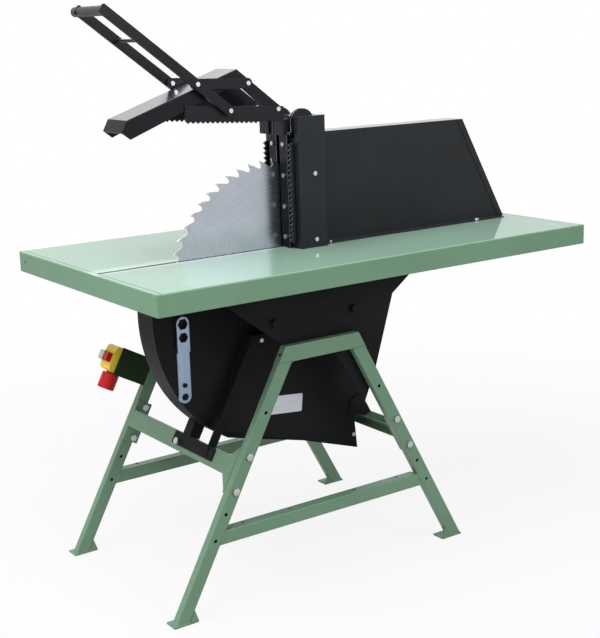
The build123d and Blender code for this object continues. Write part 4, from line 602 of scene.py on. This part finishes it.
@dataclass(frozen=True)
class CastMetal(Finish):
    """Sand-cast metal under thin grey paint."""

    rough: float = 0.48
    metallic: float = 0.25
    edge_radius: float = 0.0013
    rounding: float = 0.0012

    CLOUD = Pattern(18.0, 4.0, 0.6, span=(0.3, 0.75))
    CLOUD_TONES = (0.82, 1.14)
    PALE_EDGE = Layer(1.6, 0.45)
    # Darker in hollows: partly grime, partly painted shade.
    HOLLOW_REACH = 0.012
    HOLLOW_SHADE_AND_GRIME = Layer((0.03, 0.028, 0.026), 0.6)
    SAND = Pattern(420.0, 4.0, 0.65, span=(0.35, 0.7))
    SAND_ROUGH = 0.14
    PITS = 260.0
    PIT_SPAN = (0.12, 0.30)
    PIT_SHARE = 0.4
    RELIEF = Relief(0.30, 0.0005)

    def lay(self, shader: Shader) -> None:
        """Sand grain, pits, edges where the paint is thin, and hollows painted darker, partly grime and
        partly painted shade.

        Args:
            shader: the tree.
        """
        cells = shader.node("TexVoronoi", {"Vector": shader.place(), "Scale": self.PITS})
        pits = shader.fade(cells, *self.PIT_SPAN)
        tone = self.drift(shader.patches(self.CLOUD), self.CLOUD_TONES)
        tone = self.layered(tone, (self.PALE_EDGE, shader.edge(self.edge_radius)),
                            (self.HOLLOW_SHADE_AND_GRIME, shader.hollow(self.HOLLOW_REACH)))
        rough = self.rough + self.SAND_ROUGH * shader.patches(self.SAND)
        grain = shader.noise(self.SAND) + self.PIT_SHARE * pits
        normal = shader.relief(grain, self.RELIEF, self.rounding)
        shader.surface(tone, rough, normal, {"Metallic": self.metallic})


@dataclass(frozen=True)
class Moulded(Finish):
    """Moulded plastic or nylon with a fine spark-eroded skin."""

    rough: float
    coat: float = 0.0
    level: float = 0.5
    skin: float = 900.0
    hollow_shade_and_grime: float = 0.35
    scatter: float = 0.0
    edge_radius: float = 0.0010
    rounding: float = 0.0011

    DRIFT = Pattern(14.0, 3.0)
    DRIFT_TONES = (0.92, 1.06)
    WORN_EDGE = Layer(1.35, 0.35)
    # Darker in joints and hollows: partly grime, partly painted shade.
    HOLLOW_REACH = 0.008
    HOLLOW_TONE = 0.35
    SMEAR = Pattern(70.0, 4.0, span=(0.35, 0.75))
    SMEAR_ROUGH = 0.10
    RELIEF = Relief(0.10, 0.0003)
    COAT_ROUGH = 0.12
    SCATTER_DEPTH = 0.004

    def lay(self, shader: Shader) -> None:
        """Skin texture, slight drift of tone, paler worn edges, and joints painted darker, partly grime and
        partly painted shade.

        Args:
            shader: the tree.
        """
        hollowed = Layer(self.HOLLOW_TONE, self.hollow_shade_and_grime)
        tone = self.drift(shader.patches(self.DRIFT), self.DRIFT_TONES)
        tone = self.layered(tone, (self.WORN_EDGE, shader.edge(self.edge_radius)),
                            (hollowed, shader.hollow(self.HOLLOW_REACH)))
        rough = self.rough + self.SMEAR_ROUGH * shader.patches(self.SMEAR)
        normal = shader.relief(shader.noise(Pattern(self.skin)), self.RELIEF, self.rounding)
        shader.surface(tone, rough, normal, {
            "Coat Weight": self.coat, "Coat Roughness": self.COAT_ROUGH, "Specular IOR Level": self.level,
            "Subsurface Weight": self.scatter, "Subsurface Scale": self.SCATTER_DEPTH})


@dataclass(frozen=True)
class BeltRubber(Finish):
    """Wrapped V-belt: rubber over a bias weave, dusty on its flanks."""

    colour: Colour = (0.022, 0.021, 0.020)
    rough: float = 0.72
    thread: float = 1100.0

    THREADS = Layer(1.9, 0.5)
    WEAR = Pattern(55.0, 4.0, 0.65, span=(0.45, 0.75))
    WORN = Layer((0.07, 0.065, 0.06), 0.3)
    WEAR_ROUGH = 0.12
    RELIEF = Relief(0.3, 0.0003)

    def lay(self, shader: Shader) -> None:
        """Two sets of crossing threads, worn pale in patches.

        Args:
            shader: the tree.
        """
        place = shader.place()
        run = shader.axis(place, "X") + shader.axis(place, "Y")
        rise = shader.axis(place, "Z")
        climb = (run + rise) * (self.thread * math.tau)
        fall = (run - rise) * (self.thread * math.tau)
        weave = shader.math("SINE", climb) * shader.math("SINE", fall) * 0.5 + 0.5
        wear = shader.patches(self.WEAR)
        tone = self.layered(self.colour, (self.THREADS, weave), (self.WORN, wear))
        shader.surface(tone, self.rough + self.WEAR_ROUGH * wear, shader.relief(weave, self.RELIEF))


@dataclass(frozen=True)
class WireRope(Finish):
    """Laid steel rope: bright strands with dark grease between them."""

    colour: Colour = (0.46, 0.46, 0.45)
    groove: Colour = (0.03, 0.028, 0.026)
    rough: float = 0.34
    metallic: float = 0.9
    lay_length: float = 0.0045
    slant_x: float = 0.5
    slant_y: float = 0.9

    STRAND_SPAN = (0.15, 0.6)
    GREASE = Pattern(130.0, 4.0, span=(0.4, 0.7))
    GREASED = Layer((0.10, 0.09, 0.075), 0.35)
    GREASE_ROUGH = 0.2
    RELIEF = Relief(0.6, 0.0004)

    def lay(self, shader: Shader) -> None:
        """Slanting strands that run round the rope as it climbs.

        Args:
            shader: the tree.
        """
        place = shader.place()
        slant = self.slant_y * shader.axis(place, "Y") + self.slant_x * shader.axis(place, "X")
        phase = (shader.axis(place, "Z") + slant) * (math.tau / self.lay_length)
        strand = shader.math("SINE", phase) * 0.5 + 0.5
        grease = shader.patches(self.GREASE)
        tone = shader.blend(shader.fade(strand, *self.STRAND_SPAN), self.groove, self.colour)
        tone = self.layered(tone, (self.GREASED, grease))
        rough = self.rough + self.GREASE_ROUGH * grease
        shader.surface(tone, rough, shader.relief(strand, self.RELIEF), {"Metallic": self.metallic})


class Paints:
    """The finishes of this saw."""

    FRAME = Enamel("frame_green", (0.118, 0.226, 0.140), rough=0.32, coat=0.10, level=0.42)
    # The table's top is painted paler, standing in for light from above.
    TABLE = TableEnamel("table_green", (0.146, 0.262, 0.170), rough=0.30, coat=0.30, polish=0.48,
                        coat_rough=0.07, level=0.0, peel=150.0, peel_strength=0.02, rubs=0.25, painted_top_light=0.27)
    # A green painted very dark: painted shade on the switch plate.
    SWITCH_PLATE = Enamel("switch_plate_green", (0.020, 0.038, 0.016), rough=0.40, coat=0.0, level=0.1,
                          wear=0.3)
    BLACK = PowderCoat("black_powder")
    HOOD = PowderCoat("hood_black", (0.0130, 0.0148, 0.0175), rough=0.30, level=0.16, polish=0.85,
                      coat_rough=0.12)
    ARM = PowderCoat("arm_black", (0.0085, 0.0085, 0.0115), rough=0.28, level=0.16, edge_tone=6.0)
    GUARD = PowderCoat("guard_black", (0.0085, 0.0085, 0.0115), rough=0.30, level=0.12, polish=1.0,
                       coat_rough=0.10, edge_tone=6.0, dust=0.0, pebble=0.0)
    BLADE = BladeSteel("ground_blade")
    ZINC = Steel("zinc_plate", (0.50, 0.53, 0.58), tarnish=0.25, tint=(0.36, 0.37, 0.38))
    WRENCH = Steel("wrench_zinc", (0.29, 0.38, 0.48), rough=0.36, grain=Grain.ALONG_Z, tarnish=0.25,
                   tint=(0.26, 0.31, 0.37))
    MACHINED = Steel("machined_steel", (0.56, 0.57, 0.58), rough=0.26, grain=Grain.ROUND_Y)
    BOLT = Steel("bolt_steel", (0.46, 0.49, 0.48), rough=0.32, tint=(0.26, 0.27, 0.26))
    # Edges painted much brighter, as painted highlights along the guides and the toothed strips.
    DARK_STEEL = Steel("drawn_dark_steel", (0.022, 0.023, 0.026), rough=0.34, grain=Grain.ALONG_Z,
                       tarnish=0.2, tint=(0.012, 0.011, 0.010), edge_tone=26.0, edge_radius=0.0014)
    STRIP = Steel("toothed_strip_steel", (0.030, 0.031, 0.034), rough=0.40, grain=Grain.ALONG_Z,
                  tarnish=0.2, tint=(0.014, 0.013, 0.012), edge_tone=14.0, edge_radius=0.0012)
    IRON = CastMetal("grey_iron", (0.16, 0.165, 0.17))
    MOTOR = CastMetal("motor_grey", (0.115, 0.135, 0.150), rough=0.42, metallic=0.0)
    BELT = BeltRubber("belt_rubber")
    ROPE = WireRope("lift_rope")
    BLACK_PLASTIC = Moulded("black_plastic", (0.007, 0.007, 0.008), rough=0.42, level=0.2)
    GRIP = Moulded("grip_rubber", (0.026, 0.028, 0.030), rough=0.46, skin=520.0, level=0.3)
    NYLON = Moulded("roller_nylon", (0.70, 0.69, 0.63), rough=0.40, scatter=0.15)
    YELLOW = Moulded("switch_yellow", (1.00, 0.70, 0.05), rough=0.36, coat=0.10, level=0.4)
    RED = Moulded("switch_red", (0.56, 0.013, 0.018), rough=0.34, coat=0.05, level=0.2)
    PALE = Moulded("button_pale_green", (0.52, 0.60, 0.50), rough=0.34, coat=0.15)
    PLATE = Steel("bare_plate", (0.47, 0.48, 0.53), grain=Grain.ALONG_X, tarnish=0.15,
                  tint=(0.38, 0.38, 0.40))


def put(name: str, data: bpy.types.ID) -> bpy.types.Object:
    """Put an object in the scene.

    Args:
        name: its name.
        data: its mesh, lamp or camera.

    Returns:
        The object.
    """
    made = bpy.data.objects.new(name, data)
    bpy.context.scene.collection.objects.link(made)
    return made


@dataclass(frozen=True)
class Workshop:
    """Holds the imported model's objects, gives them their finishes, and takes in the pieces made here."""

    nodes: dict[str, bpy.types.Object]

    def dress(self, finish: Finish, nodes: Sequence[str]) -> None:
        """Give nodes of the model a finish.

        Args:
            finish: the finish.
            nodes: the nodes' names.
        """
        for name in nodes:
            slots = self.nodes[name].data.materials
            slots.clear()
            slots.append(finish.material())
            log.info("%s takes %s", name, finish.name)

    def make(self, name: str, shape: Mesh, finish: Finish,
             body: str | None = None) -> bpy.types.Object:
        """Turn a shape into a piece.

        Args:
            name: the piece's name.
            shape: its mesh, in the saw's frame.
            finish: its finish.
            body: the body that it rides on, if any.

        Returns:
            The piece.
        """
        mesh = bpy.data.meshes.new(name)
        bmesh.ops.recalc_face_normals(shape, faces=shape.faces)
        shape.to_mesh(mesh)
        shape.free()
        mesh.materials.append(finish.material())
        made = put(name, mesh)
        if body:
            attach(made, body)
            log.info("%s rides on %s", name, body)
        return made


@dataclass(frozen=True)
class Seat:
    """A place on a face: its middle, the direction across it and the direction out of it."""

    middle: Point
    across: Point
    out: Point

    def matrix(self) -> Matrix:
        """Find the seat's matrix.

        Returns:
            The matrix from its own axes to the saw's frame.
        """
        out = Vector(self.out).normalized()
        across = Vector(self.across).normalized()
        made = Matrix((across, out.cross(across), out)).transposed().to_4x4()
        made.translation = Vector(self.middle)
        return made


def skin(shape: Mesh, rings: Sequence[Sequence[bmesh.types.BMVert]], smooth: bool = True) -> None:
    """Join each ring of points to the next.

    Args:
        shape: the mesh to add to.
        rings: the rings, all with as many points.
        smooth: whether the faces are shaded smooth.
    """
    for low, high in zip(rings, rings[1:]):
        for number in range(len(low)):
            after = (number + 1) % len(low)
            face = shape.faces.new((low[number], low[after], high[after], high[number]))
            face.smooth = smooth


def lathe(shape: Mesh, seat: Matrix, profile: Sequence[Pair], steps: int,
          hexes: Sequence[int] = ()) -> None:
    """Turn a profile about a seat's axis and close its last ring.

    Args:
        shape: the mesh to add to.
        seat: the matrix of the seat.
        profile: pairs of radius and height.
        steps: points round each ring.
        hexes: numbers of the rings that are hexagons.
    """
    rings = []
    for number, (radius, height) in enumerate(profile):
        ring = []
        for step in range(steps):
            turn = math.tau * step / steps
            reach = radius
            if number in hexes:
                reach = radius / math.cos(turn % (math.pi / 3) - math.pi / 6)
            point = Vector((reach * math.cos(turn), reach * math.sin(turn), height))
            ring.append(shape.verts.new(seat @ point))
        rings.append(ring)
    skin(shape, rings)
    shape.faces.new(rings[-1])


@dataclass(frozen=True)
class SocketScrew:
    """A small button-head screw with a hexagon socket."""

    radius: float = 0.0042
    height: float = 0.0024
    socket: float = 0.0016
    socket_floor: float = 0.35
    steps: int = 24

    # Shares of the radius and of the height
    CROWN = ((1.0, 0.0), (1.0, 0.25), (0.94, 0.55), (0.78, 0.84), (0.58, 1.0))

    def add(self, shape: Mesh, seat: Matrix) -> None:
        """Add the screw's head to a mesh.

        Args:
            shape: the mesh.
            seat: the matrix of its seat.
        """
        crown = [(self.radius * out, self.height * up) for out, up in self.CROWN]
        socket = [(self.socket, self.height), (self.socket, self.height * self.socket_floor)]
        lathe(shape, seat, crown + socket, self.steps, (len(crown), len(crown) + 1))


@dataclass(frozen=True)
class LaidRope:
    """A straight run of wire rope whose strands wind round it."""

    radius: float
    strands: int = 6
    groove: float = 0.16
    twist: float = 0.020
    sides: int = 30
    step: float = 0.0025

    def add(self, shape: Mesh, foot: Vector, length: float) -> None:
        """Add an upright run to a mesh.

        Args:
            shape: the mesh.
            foot: the middle of its lower end.
            length: its length.
        """
        count = math.ceil(length / self.step)
        rings = []
        for number in range(count + 1):
            height = length * number / count
            ring = []
            for side in range(self.sides):
                turn = math.tau * side / self.sides
                dip = 0.5 - 0.5 * math.cos(self.strands * (turn - math.tau * height / self.twist))
                reach = self.radius * (1.0 - self.groove * dip)
                point = Vector((reach * math.cos(turn), reach * math.sin(turn), height))
                ring.append(shape.verts.new(foot + point))
            rings.append(ring)
        skin(shape, rings)
        shape.faces.new(rings[0][::-1])
        shape.faces.new(rings[-1])


@dataclass(frozen=True)
class BarePlate:
    """A blank metal plate with turned-over edges and a rivet in each corner."""

    width: float
    height: float
    seat: Seat
    sheet: float = 0.0010
    corner: float = 0.004
    corner_steps: int = 5
    rivet: float = 0.0022
    rivet_steps: int = 14
    inset: float = 0.0058

    # Insets in metres and shares of the sheet's thickness, up the rim and down to the face
    RIM = ((0.0, 0.0), (0.0, 0.6), (0.0004, 1.0), (0.0020, 1.0), (0.0026, 0.8))
    # Shares of the rivet's radius, outwards and up
    DOME = ((1.0, 0.0), (0.92, 0.28), (0.70, 0.5), (0.35, 0.62))

    def shape(self) -> Mesh:
        """Draw a rolled rim round a face that lies a little lower, and four domed rivets.

        Returns:
            The plate's mesh.
        """
        made = bmesh.new()
        seat = self.seat.matrix()
        rings = []
        for inset, level in self.RIM:
            points = [Vector((*spot, level * self.sheet)) for spot in self.outline(inset)]
            rings.append([made.verts.new(seat @ point) for point in points])
        skin(made, rings, smooth=False)
        made.faces.new(rings[-1])
        dome = [(self.rivet * out, self.rivet * up) for out, up in self.DOME]
        face = self.RIM[-1][1] * self.sheet
        for side, level in CORNERS:
            place = (side * (self.width / 2 - self.inset), level * (self.height / 2 - self.inset), face)
            lathe(made, seat @ Matrix.Translation(place), dome, self.rivet_steps)
        return made

    def outline(self, inset: float) -> list[Pair]:
        """Draw the plate's rounded outline.

        Args:
            inset: how far it is drawn in.

        Returns:
            Its points.
        """
        points = []
        corner = self.corner - inset / 2
        for number, (side, level) in enumerate(((1, 1), (-1, 1), (-1, -1), (1, -1))):
            for step in range(self.corner_steps + 1):
                turn = math.pi / 2 * (number + step / self.corner_steps)
                points.append((side * (self.width / 2 - inset - corner) + corner * math.cos(turn),
                               level * (self.height / 2 - inset - corner) + corner * math.sin(turn)))
        return points


@dataclass(frozen=True)
class WeldBead:
    """A run of weld along a straight joint, with the ripples of the puddle."""

    start: Point
    end: Point
    radius: float
    pitch: float = 0.0034
    pitch_rings: int = 4
    least_rings: int = 12
    steps: int = 10
    blunt: float = 0.3
    ripple: float = 0.11
    flutter: float = 0.05
    flutter_rate: float = 91.0

    def add(self, shape: Mesh) -> None:
        """Add the bead to a mesh.

        Args:
            shape: the mesh.
        """
        start, end = Vector(self.start), Vector(self.end)
        run = end - start
        seat = Matrix.Translation(start) @ run.to_track_quat("Z", "Y").to_matrix().to_4x4()
        count = max(self.least_rings, int(run.length / self.pitch * self.pitch_rings))
        profile = []
        for number in range(count + 1):
            along = run.length * number / count
            near_end = min(along, run.length - along)
            taper = min(1.0, (self.blunt * self.radius + near_end) / self.radius)
            ripple = self.ripple * math.sin(math.tau * along / self.pitch)
            flutter = self.flutter * math.sin(self.flutter_rate * along / self.pitch)
            profile.append((self.radius * (1.0 + ripple + flutter) * taper ** 0.5, along))
        lathe(shape, seat, profile, self.steps)


class Assembly:
    """A sub-assembly of the saw, with the finish of each of its nodes."""

    FINISHES: ClassVar[dict[Finish, tuple[str, ...]]] = {}

    def build(self, shop: Workshop) -> None:
        """Make the pieces that the model doesn't hold, if it lacks any."""

    def dress(self, shop: Workshop) -> None:
        """Give the nodes their finishes."""
        for finish, nodes in self.FINISHES.items():
            shop.dress(finish, nodes)


@dataclass(frozen=True)
class Stand(Assembly):
    """Two A-frames of green flat tube, joined by two channels with dull steel bolts."""

    middle: float = -0.150
    lean: float = math.radians(28.5)
    spread: float = 0.417
    half_width: float = 0.01934
    tube_depth: float = 0.020
    beam_foot: float = 0.568
    stretcher: Pair = (0.169, 0.202)
    stretcher_corner: float = 0.003
    faces: Pair = (-0.260, 0.260)
    shoe: float = 0.004
    shoe_lip: float = 0.0005
    tube_bead: float = 0.0018
    shoe_bead: float = 0.0022

    FINISHES = {
        Paints.FRAME: ("near_frame", "far_frame", "front_cross_beam", "rear_cross_beam"),
        Paints.BOLT: ("frame_bolts",),
    }

    def leg(self, side: int, height: float, out: int) -> Pair:
        """A point, along and up, on the front (-1) or rear (1) leg's inner (-1) or outer (1) edge."""
        along = self.middle + side * (self.spread - height * math.tan(self.lean) + out * self.half_width)
        return along, height

    def beads(self) -> list[WeldBead]:
        """Lay out the welds at the tops of the legs, the ends of the stretchers and the floor shoes.

        Returns:
            The beads.
        """
        made = []
        low, high = self.stretcher[0] + self.stretcher_corner, self.stretcher[1] - self.stretcher_corner
        for face in self.faces:
            back = face + self.tube_depth
            for side in (-1, 1):
                inner, outer = self.leg(side, self.beam_foot, -1), self.leg(side, self.beam_foot, 1)
                foot, head = self.leg(side, low, -1), self.leg(side, high, -1)
                toe, heel = self.leg(side, self.shoe, 1), self.leg(side, self.shoe, -1)
                for start, end, near, radius in ((inner, outer, face, self.tube_bead),
                                                 (foot, head, face, self.tube_bead),
                                                 (toe, heel, face + self.shoe_lip, self.shoe_bead)):
                    for plane in (near, back):
                        made.append(WeldBead((start[0], plane, start[1]), (end[0], plane, end[1]), radius))
        return made

    def build(self, shop: Workshop) -> None:
        """Lay the weld beads.

        Args:
            shop: the workshop.
        """
        shape = bmesh.new()
        for bead in self.beads():
            bead.add(shape)
        shop.make("frame_welds", shape, Paints.FRAME, "stand")


@dataclass(frozen=True)
class SheetMetal(Assembly):
    """The black plates, housing and chute cover below the table, with a zinc wrench and screws."""

    plate_width: float = 0.110
    plate_height: float = 0.046
    plate_at: Pair = (-0.176, 0.421)
    plate_tilt: float = math.radians(-5.5)
    cover_face: float = -0.125

    FINISHES = {
        Paints.BLACK: ("side_plates", "blade_housing", "chute_cover", "housing_brackets", "plate_standoffs"),
        Paints.WRENCH: ("blade_wrench",),
        Paints.ZINC: ("housing_bolts",),
    }

    def build(self, shop: Workshop) -> None:
        """Rivet the blank plate to the chute cover.

        Args:
            shop: the workshop.
        """
        seat = Seat((self.plate_at[0], self.cover_face, self.plate_at[1]),
                    (math.cos(self.plate_tilt), 0.0, math.sin(self.plate_tilt)), (0.0, -1.0, 0.0))
        plate = BarePlate(self.plate_width, self.plate_height, seat)
        shop.make("blank_plate", plate.shape(), Paints.PLATE, "stand")


class Switch(Assembly):
    """The yellow switch on the far front leg, on its plate, whose green is painted dark as painted shade."""

    FINISHES = {
        Paints.SWITCH_PLATE: ("switch_bracket",),
        Paints.YELLOW: ("switch_case", "switch_panel"),
        Paints.RED: ("stop_button", "stop_mushroom"),
        Paints.PALE: ("start_button",),
    }


class Table(Assembly):
    """The glossy sliding table, its black rails and the pale rollers that carry it."""

    FINISHES = {
        Paints.TABLE: ("table_near_sheet", "table_far_sheet", "table_end_caps"),
        Paints.BLACK: ("table_rails",),
        Paints.NYLON: ("near_front_roller", "near_rear_roller", "far_front_roller", "far_rear_roller"),
        Paints.MACHINED: ("roller_axles",),
    }


class Column(Assembly):
    """The black column with its dark drawn guides and its lift, and the hood behind it."""

    FINISHES = {
        Paints.HOOD: ("column", "hood_shell", "hood_rear_cover"),
        Paints.STRIP: ("toothed_strips",),
        Paints.DARK_STEEL: ("guide_bars",),
        Paints.ZINC: ("hood_bolts",),
        Paints.BLACK_PLASTIC: ("rope_pulleys",),
        Paints.ROPE: ("front_cables", "rear_cables", "cable_turns"),
        Paints.IRON: ("counterweights",),
    }

    def build(self, shop: Workshop) -> None:
        """Make the lift cables' upright runs anew as laid rope, in place of the model's stiff runs."""
        self.runs(shop, "front_cables", "hold_down")
        self.runs(shop, "rear_cables", "weights")

    def runs(self, shop: Workshop, node: str, load: str) -> None:
        """Two runs of rope from the pulleys on the table's column down to what hangs on them.

        Args:
            shop: the workshop.
            node: the model's stiff runs, which these stand for.
            load: the body on their lower ends.
        """
        low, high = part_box(node)
        rope = LaidRope((high.x - low.x) / 2)
        middle = (low.x + high.x) / 2
        shape = bmesh.new()
        for across in (low.y + rope.radius, high.y - rope.radius):
            rope.add(shape, Vector((middle, across, low.z)), high.z - low.z)
        made = shop.make(f"{node}_laid", shape, Paints.ROPE)
        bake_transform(made)
        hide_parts(node)
        log.info("%s runs from table to %s", made.name, load)


class HoldDown(Assembly):
    """The satin black toothed arm with its glossy guard, its links and its handle."""

    FINISHES = {
        Paints.ARM: ("toothed_beams", "handle_bars", "top_links"),
        Paints.GUARD: ("guard_shell",),
        Paints.DARK_STEEL: ("guide_shoes",),
        Paints.GRIP: ("handle_grip",),
        Paints.ZINC: ("pivot_bolts", "link_bolts"),
    }


@dataclass(frozen=True)
class Drive(Assembly):
    """The ground blade on its bright arbor, the belts on iron pulleys and the grey motor."""

    screw_inset: float = 0.009
    lid: Pair = (0.080, 0.070)

    FINISHES = {
        Paints.BLADE: ("saw_blade",),
        Paints.MACHINED: ("blade_flanges", "arbor", "arbor_nut", "spindle_bearings", "motor_shaft"),
        Paints.IRON: ("arbor_pulley", "motor_pulley", "spindle_housing"),
        Paints.BELT: ("drive_belts",),
        Paints.MOTOR: ("motor_body", "motor_fan_cover"),
        Paints.BLACK_PLASTIC: ("motor_terminal_box",),
        Paints.BLACK: ("motor_carrier",),
    }

    def build(self, shop: Workshop) -> None:
        """Put the lid's screws on the terminal box.

        Args:
            shop: the workshop.
        """
        low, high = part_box("motor_terminal_box")
        middle = (low.y + high.y) / 2
        shape = bmesh.new()
        for side, level in CORNERS:
            place = (high.x, middle + side * (self.lid[0] / 2 - self.screw_inset),
                     high.z - self.lid[1] / 2 + level * (self.lid[1] / 2 - self.screw_inset))
            SocketScrew().add(shape, Seat(place, (0.0, 1.0, 0.0), (1.0, 0.0, 0.0)).matrix())
        shop.make("terminal_box_screws", shape, Paints.ZINC, "stand")


@dataclass(frozen=True)
class CameraView:
    """The camera at the photograph's viewing angle."""

    place: Point = (-1.825103, -2.570808, 1.328983)
    azimuth: float = -34.886
    elevation: float = 13.242
    roll: float = -1.76
    focal_pixels: float = 1250.274
    frame_height: float = 638.0
    sensor: float = 36.0

    def build(self) -> None:
        """Make the camera and hand it to the scene."""
        turn, lift, roll = (math.radians(value) for value in (self.azimuth, self.elevation, self.roll))
        back = Vector((math.sin(turn) * math.cos(lift), -math.cos(turn) * math.cos(lift), math.sin(lift)))
        right = Vector((math.cos(turn), math.sin(turn), 0.0))
        up = back.cross(right)
        matrix = Matrix((right * math.cos(roll) + up * math.sin(roll),
                         up * math.cos(roll) - right * math.sin(roll), back)).transposed().to_4x4()
        matrix.translation = Vector(self.place)
        data = bpy.data.cameras.new("camera")
        data.sensor_fit = "VERTICAL"
        data.sensor_height = self.sensor
        data.lens = self.focal_pixels * self.sensor / self.frame_height
        camera = put("camera", data)
        camera.matrix_world = matrix
        bpy.context.scene.camera = camera


@dataclass(frozen=True)
class Softbox:
    """A wide soft lamp that lights the saw and isn't seen itself."""

    name: str
    place: Point
    aim: Point
    width: float
    height: float
    watts: float

    def build(self) -> None:
        """Hang the lamp and turn it to its aim."""
        data = bpy.data.lights.new(self.name, "AREA")
        data.shape = "RECTANGLE"
        data.size = self.width
        data.size_y = self.height
        data.energy = self.watts
        lamp = put(self.name, data)
        lamp.location = self.place
        lamp.rotation_euler = (Vector(self.aim) - Vector(self.place)).to_track_quat("-Z", "Y").to_euler()
        lamp.visible_camera = False


@dataclass(frozen=True)
class Studio:
    """A pale floor, a white surround and four soft lamps."""

    floor_size: float = 24.0
    floor_tone: Colour = (0.55, 0.55, 0.55)
    shown_white: float = 0.88
    shadow_reach: Pair = (0.9, 2.6)
    surround: float = 0.28
    lamps: tuple[Softbox, ...] = (
        Softbox("soft_overhead", (-1.9, -0.5, 4.1), (-0.3, -0.1, 0.6), 3.4, 3.4, 255.0),
        Softbox("soft_near", (1.3, -4.0, 2.8), (0.0, 0.0, 0.6), 2.2, 2.2, 82.0),
        Softbox("soft_rear", (1.08, 3.53, 3.52), (-0.35, -0.06, 1.2), 2.4, 1.3, 24.0),
        Softbox("soft_fill", (-4.2, -1.4, 1.3), (-0.5, 0.1, 0.5), 1.8, 1.2, 24.0))

    SPECK = Pattern(40.0, 3.0)
    SPECK_TONES = (0.98, 1.02)
    SEEN = ("Camera", "Glossy", "Transmission")

    def build(self) -> None:
        """Make the floor, the world and the lamps."""
        self.floor()
        self.world()
        for lamp in self.lamps:
            lamp.build()

    def floor(self) -> None:
        """A large plane that looks white and keeps a faint shadow round the saw."""
        mesh = bpy.data.meshes.new("floor")
        half = self.floor_size / 2
        corners = [(-half, -half, 0), (half, -half, 0), (half, half, 0), (-half, half, 0)]
        mesh.from_pydata(corners, [], [(0, 1, 2, 3)])
        floor = put("floor", mesh)
        material = bpy.data.materials.new("floor_white")
        material.use_nodes = True
        shader = Shader(material.node_tree)
        place = shader.place()
        across, along = shader.axis(place, "X"), shader.axis(place, "Y")
        away = shader.fade((across * across + along * along) ** 0.5, *self.shadow_reach)
        white_share = self.seen(shader) * (self.shown_white + away * (1.0 - self.shown_white))
        low, high = (shade(self.floor_tone, amount) for amount in self.SPECK_TONES)
        tone = shader.blend(shader.noise(self.SPECK), low, high)
        matt = shader.node("BsdfDiffuse", {"Color": tone})
        white = shader.node("Emission", {"Color": WHITE})
        mixed = shader.node("MixShader", {0: white_share, 1: matt, 2: white})
        shader.node("OutputMaterial", {"Surface": mixed})
        mesh.materials.append(material)

    def seen(self, shader: Shader) -> Signal:
        """One for rays from the camera and those that a shiny or clear surface passes on."""
        camera, glossy, clear = (shader.node("LightPath", output=f"Is {kind} Ray") for kind in self.SEEN)
        return shader.math("MAXIMUM", shader.math("MAXIMUM", camera, glossy), clear)

    def world(self) -> None:
        """White where it is seen, and well under white where it lights."""
        world = bpy.data.worlds.new("surround")
        world.use_nodes = True
        shader = Shader(world.node_tree)
        strength = self.surround + self.seen(shader) * (1.0 - self.surround)
        light = shader.node("Background", {"Color": WHITE, "Strength": strength})
        shader.node("OutputWorld", {"Surface": light})
        bpy.context.scene.world = world


def main() -> None:
    """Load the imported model, build the pieces, dress everything and light it."""
    logging.basicConfig(level=logging.INFO, format="%(name)s: %(message)s")
    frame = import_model()
    shop = Workshop(frame["nodes"])
    CameraView().build()
    Studio().build()
    for assembly in (Stand(), SheetMetal(), Switch(), Table(), Column(), HoldDown(), Drive()):
        assembly.build(shop)
        assembly.dress(shop)
    bpy.context.scene.view_settings.view_transform = "Standard"
    bpy.context.view_layer.update()


if __name__ == "__main__":
    main()
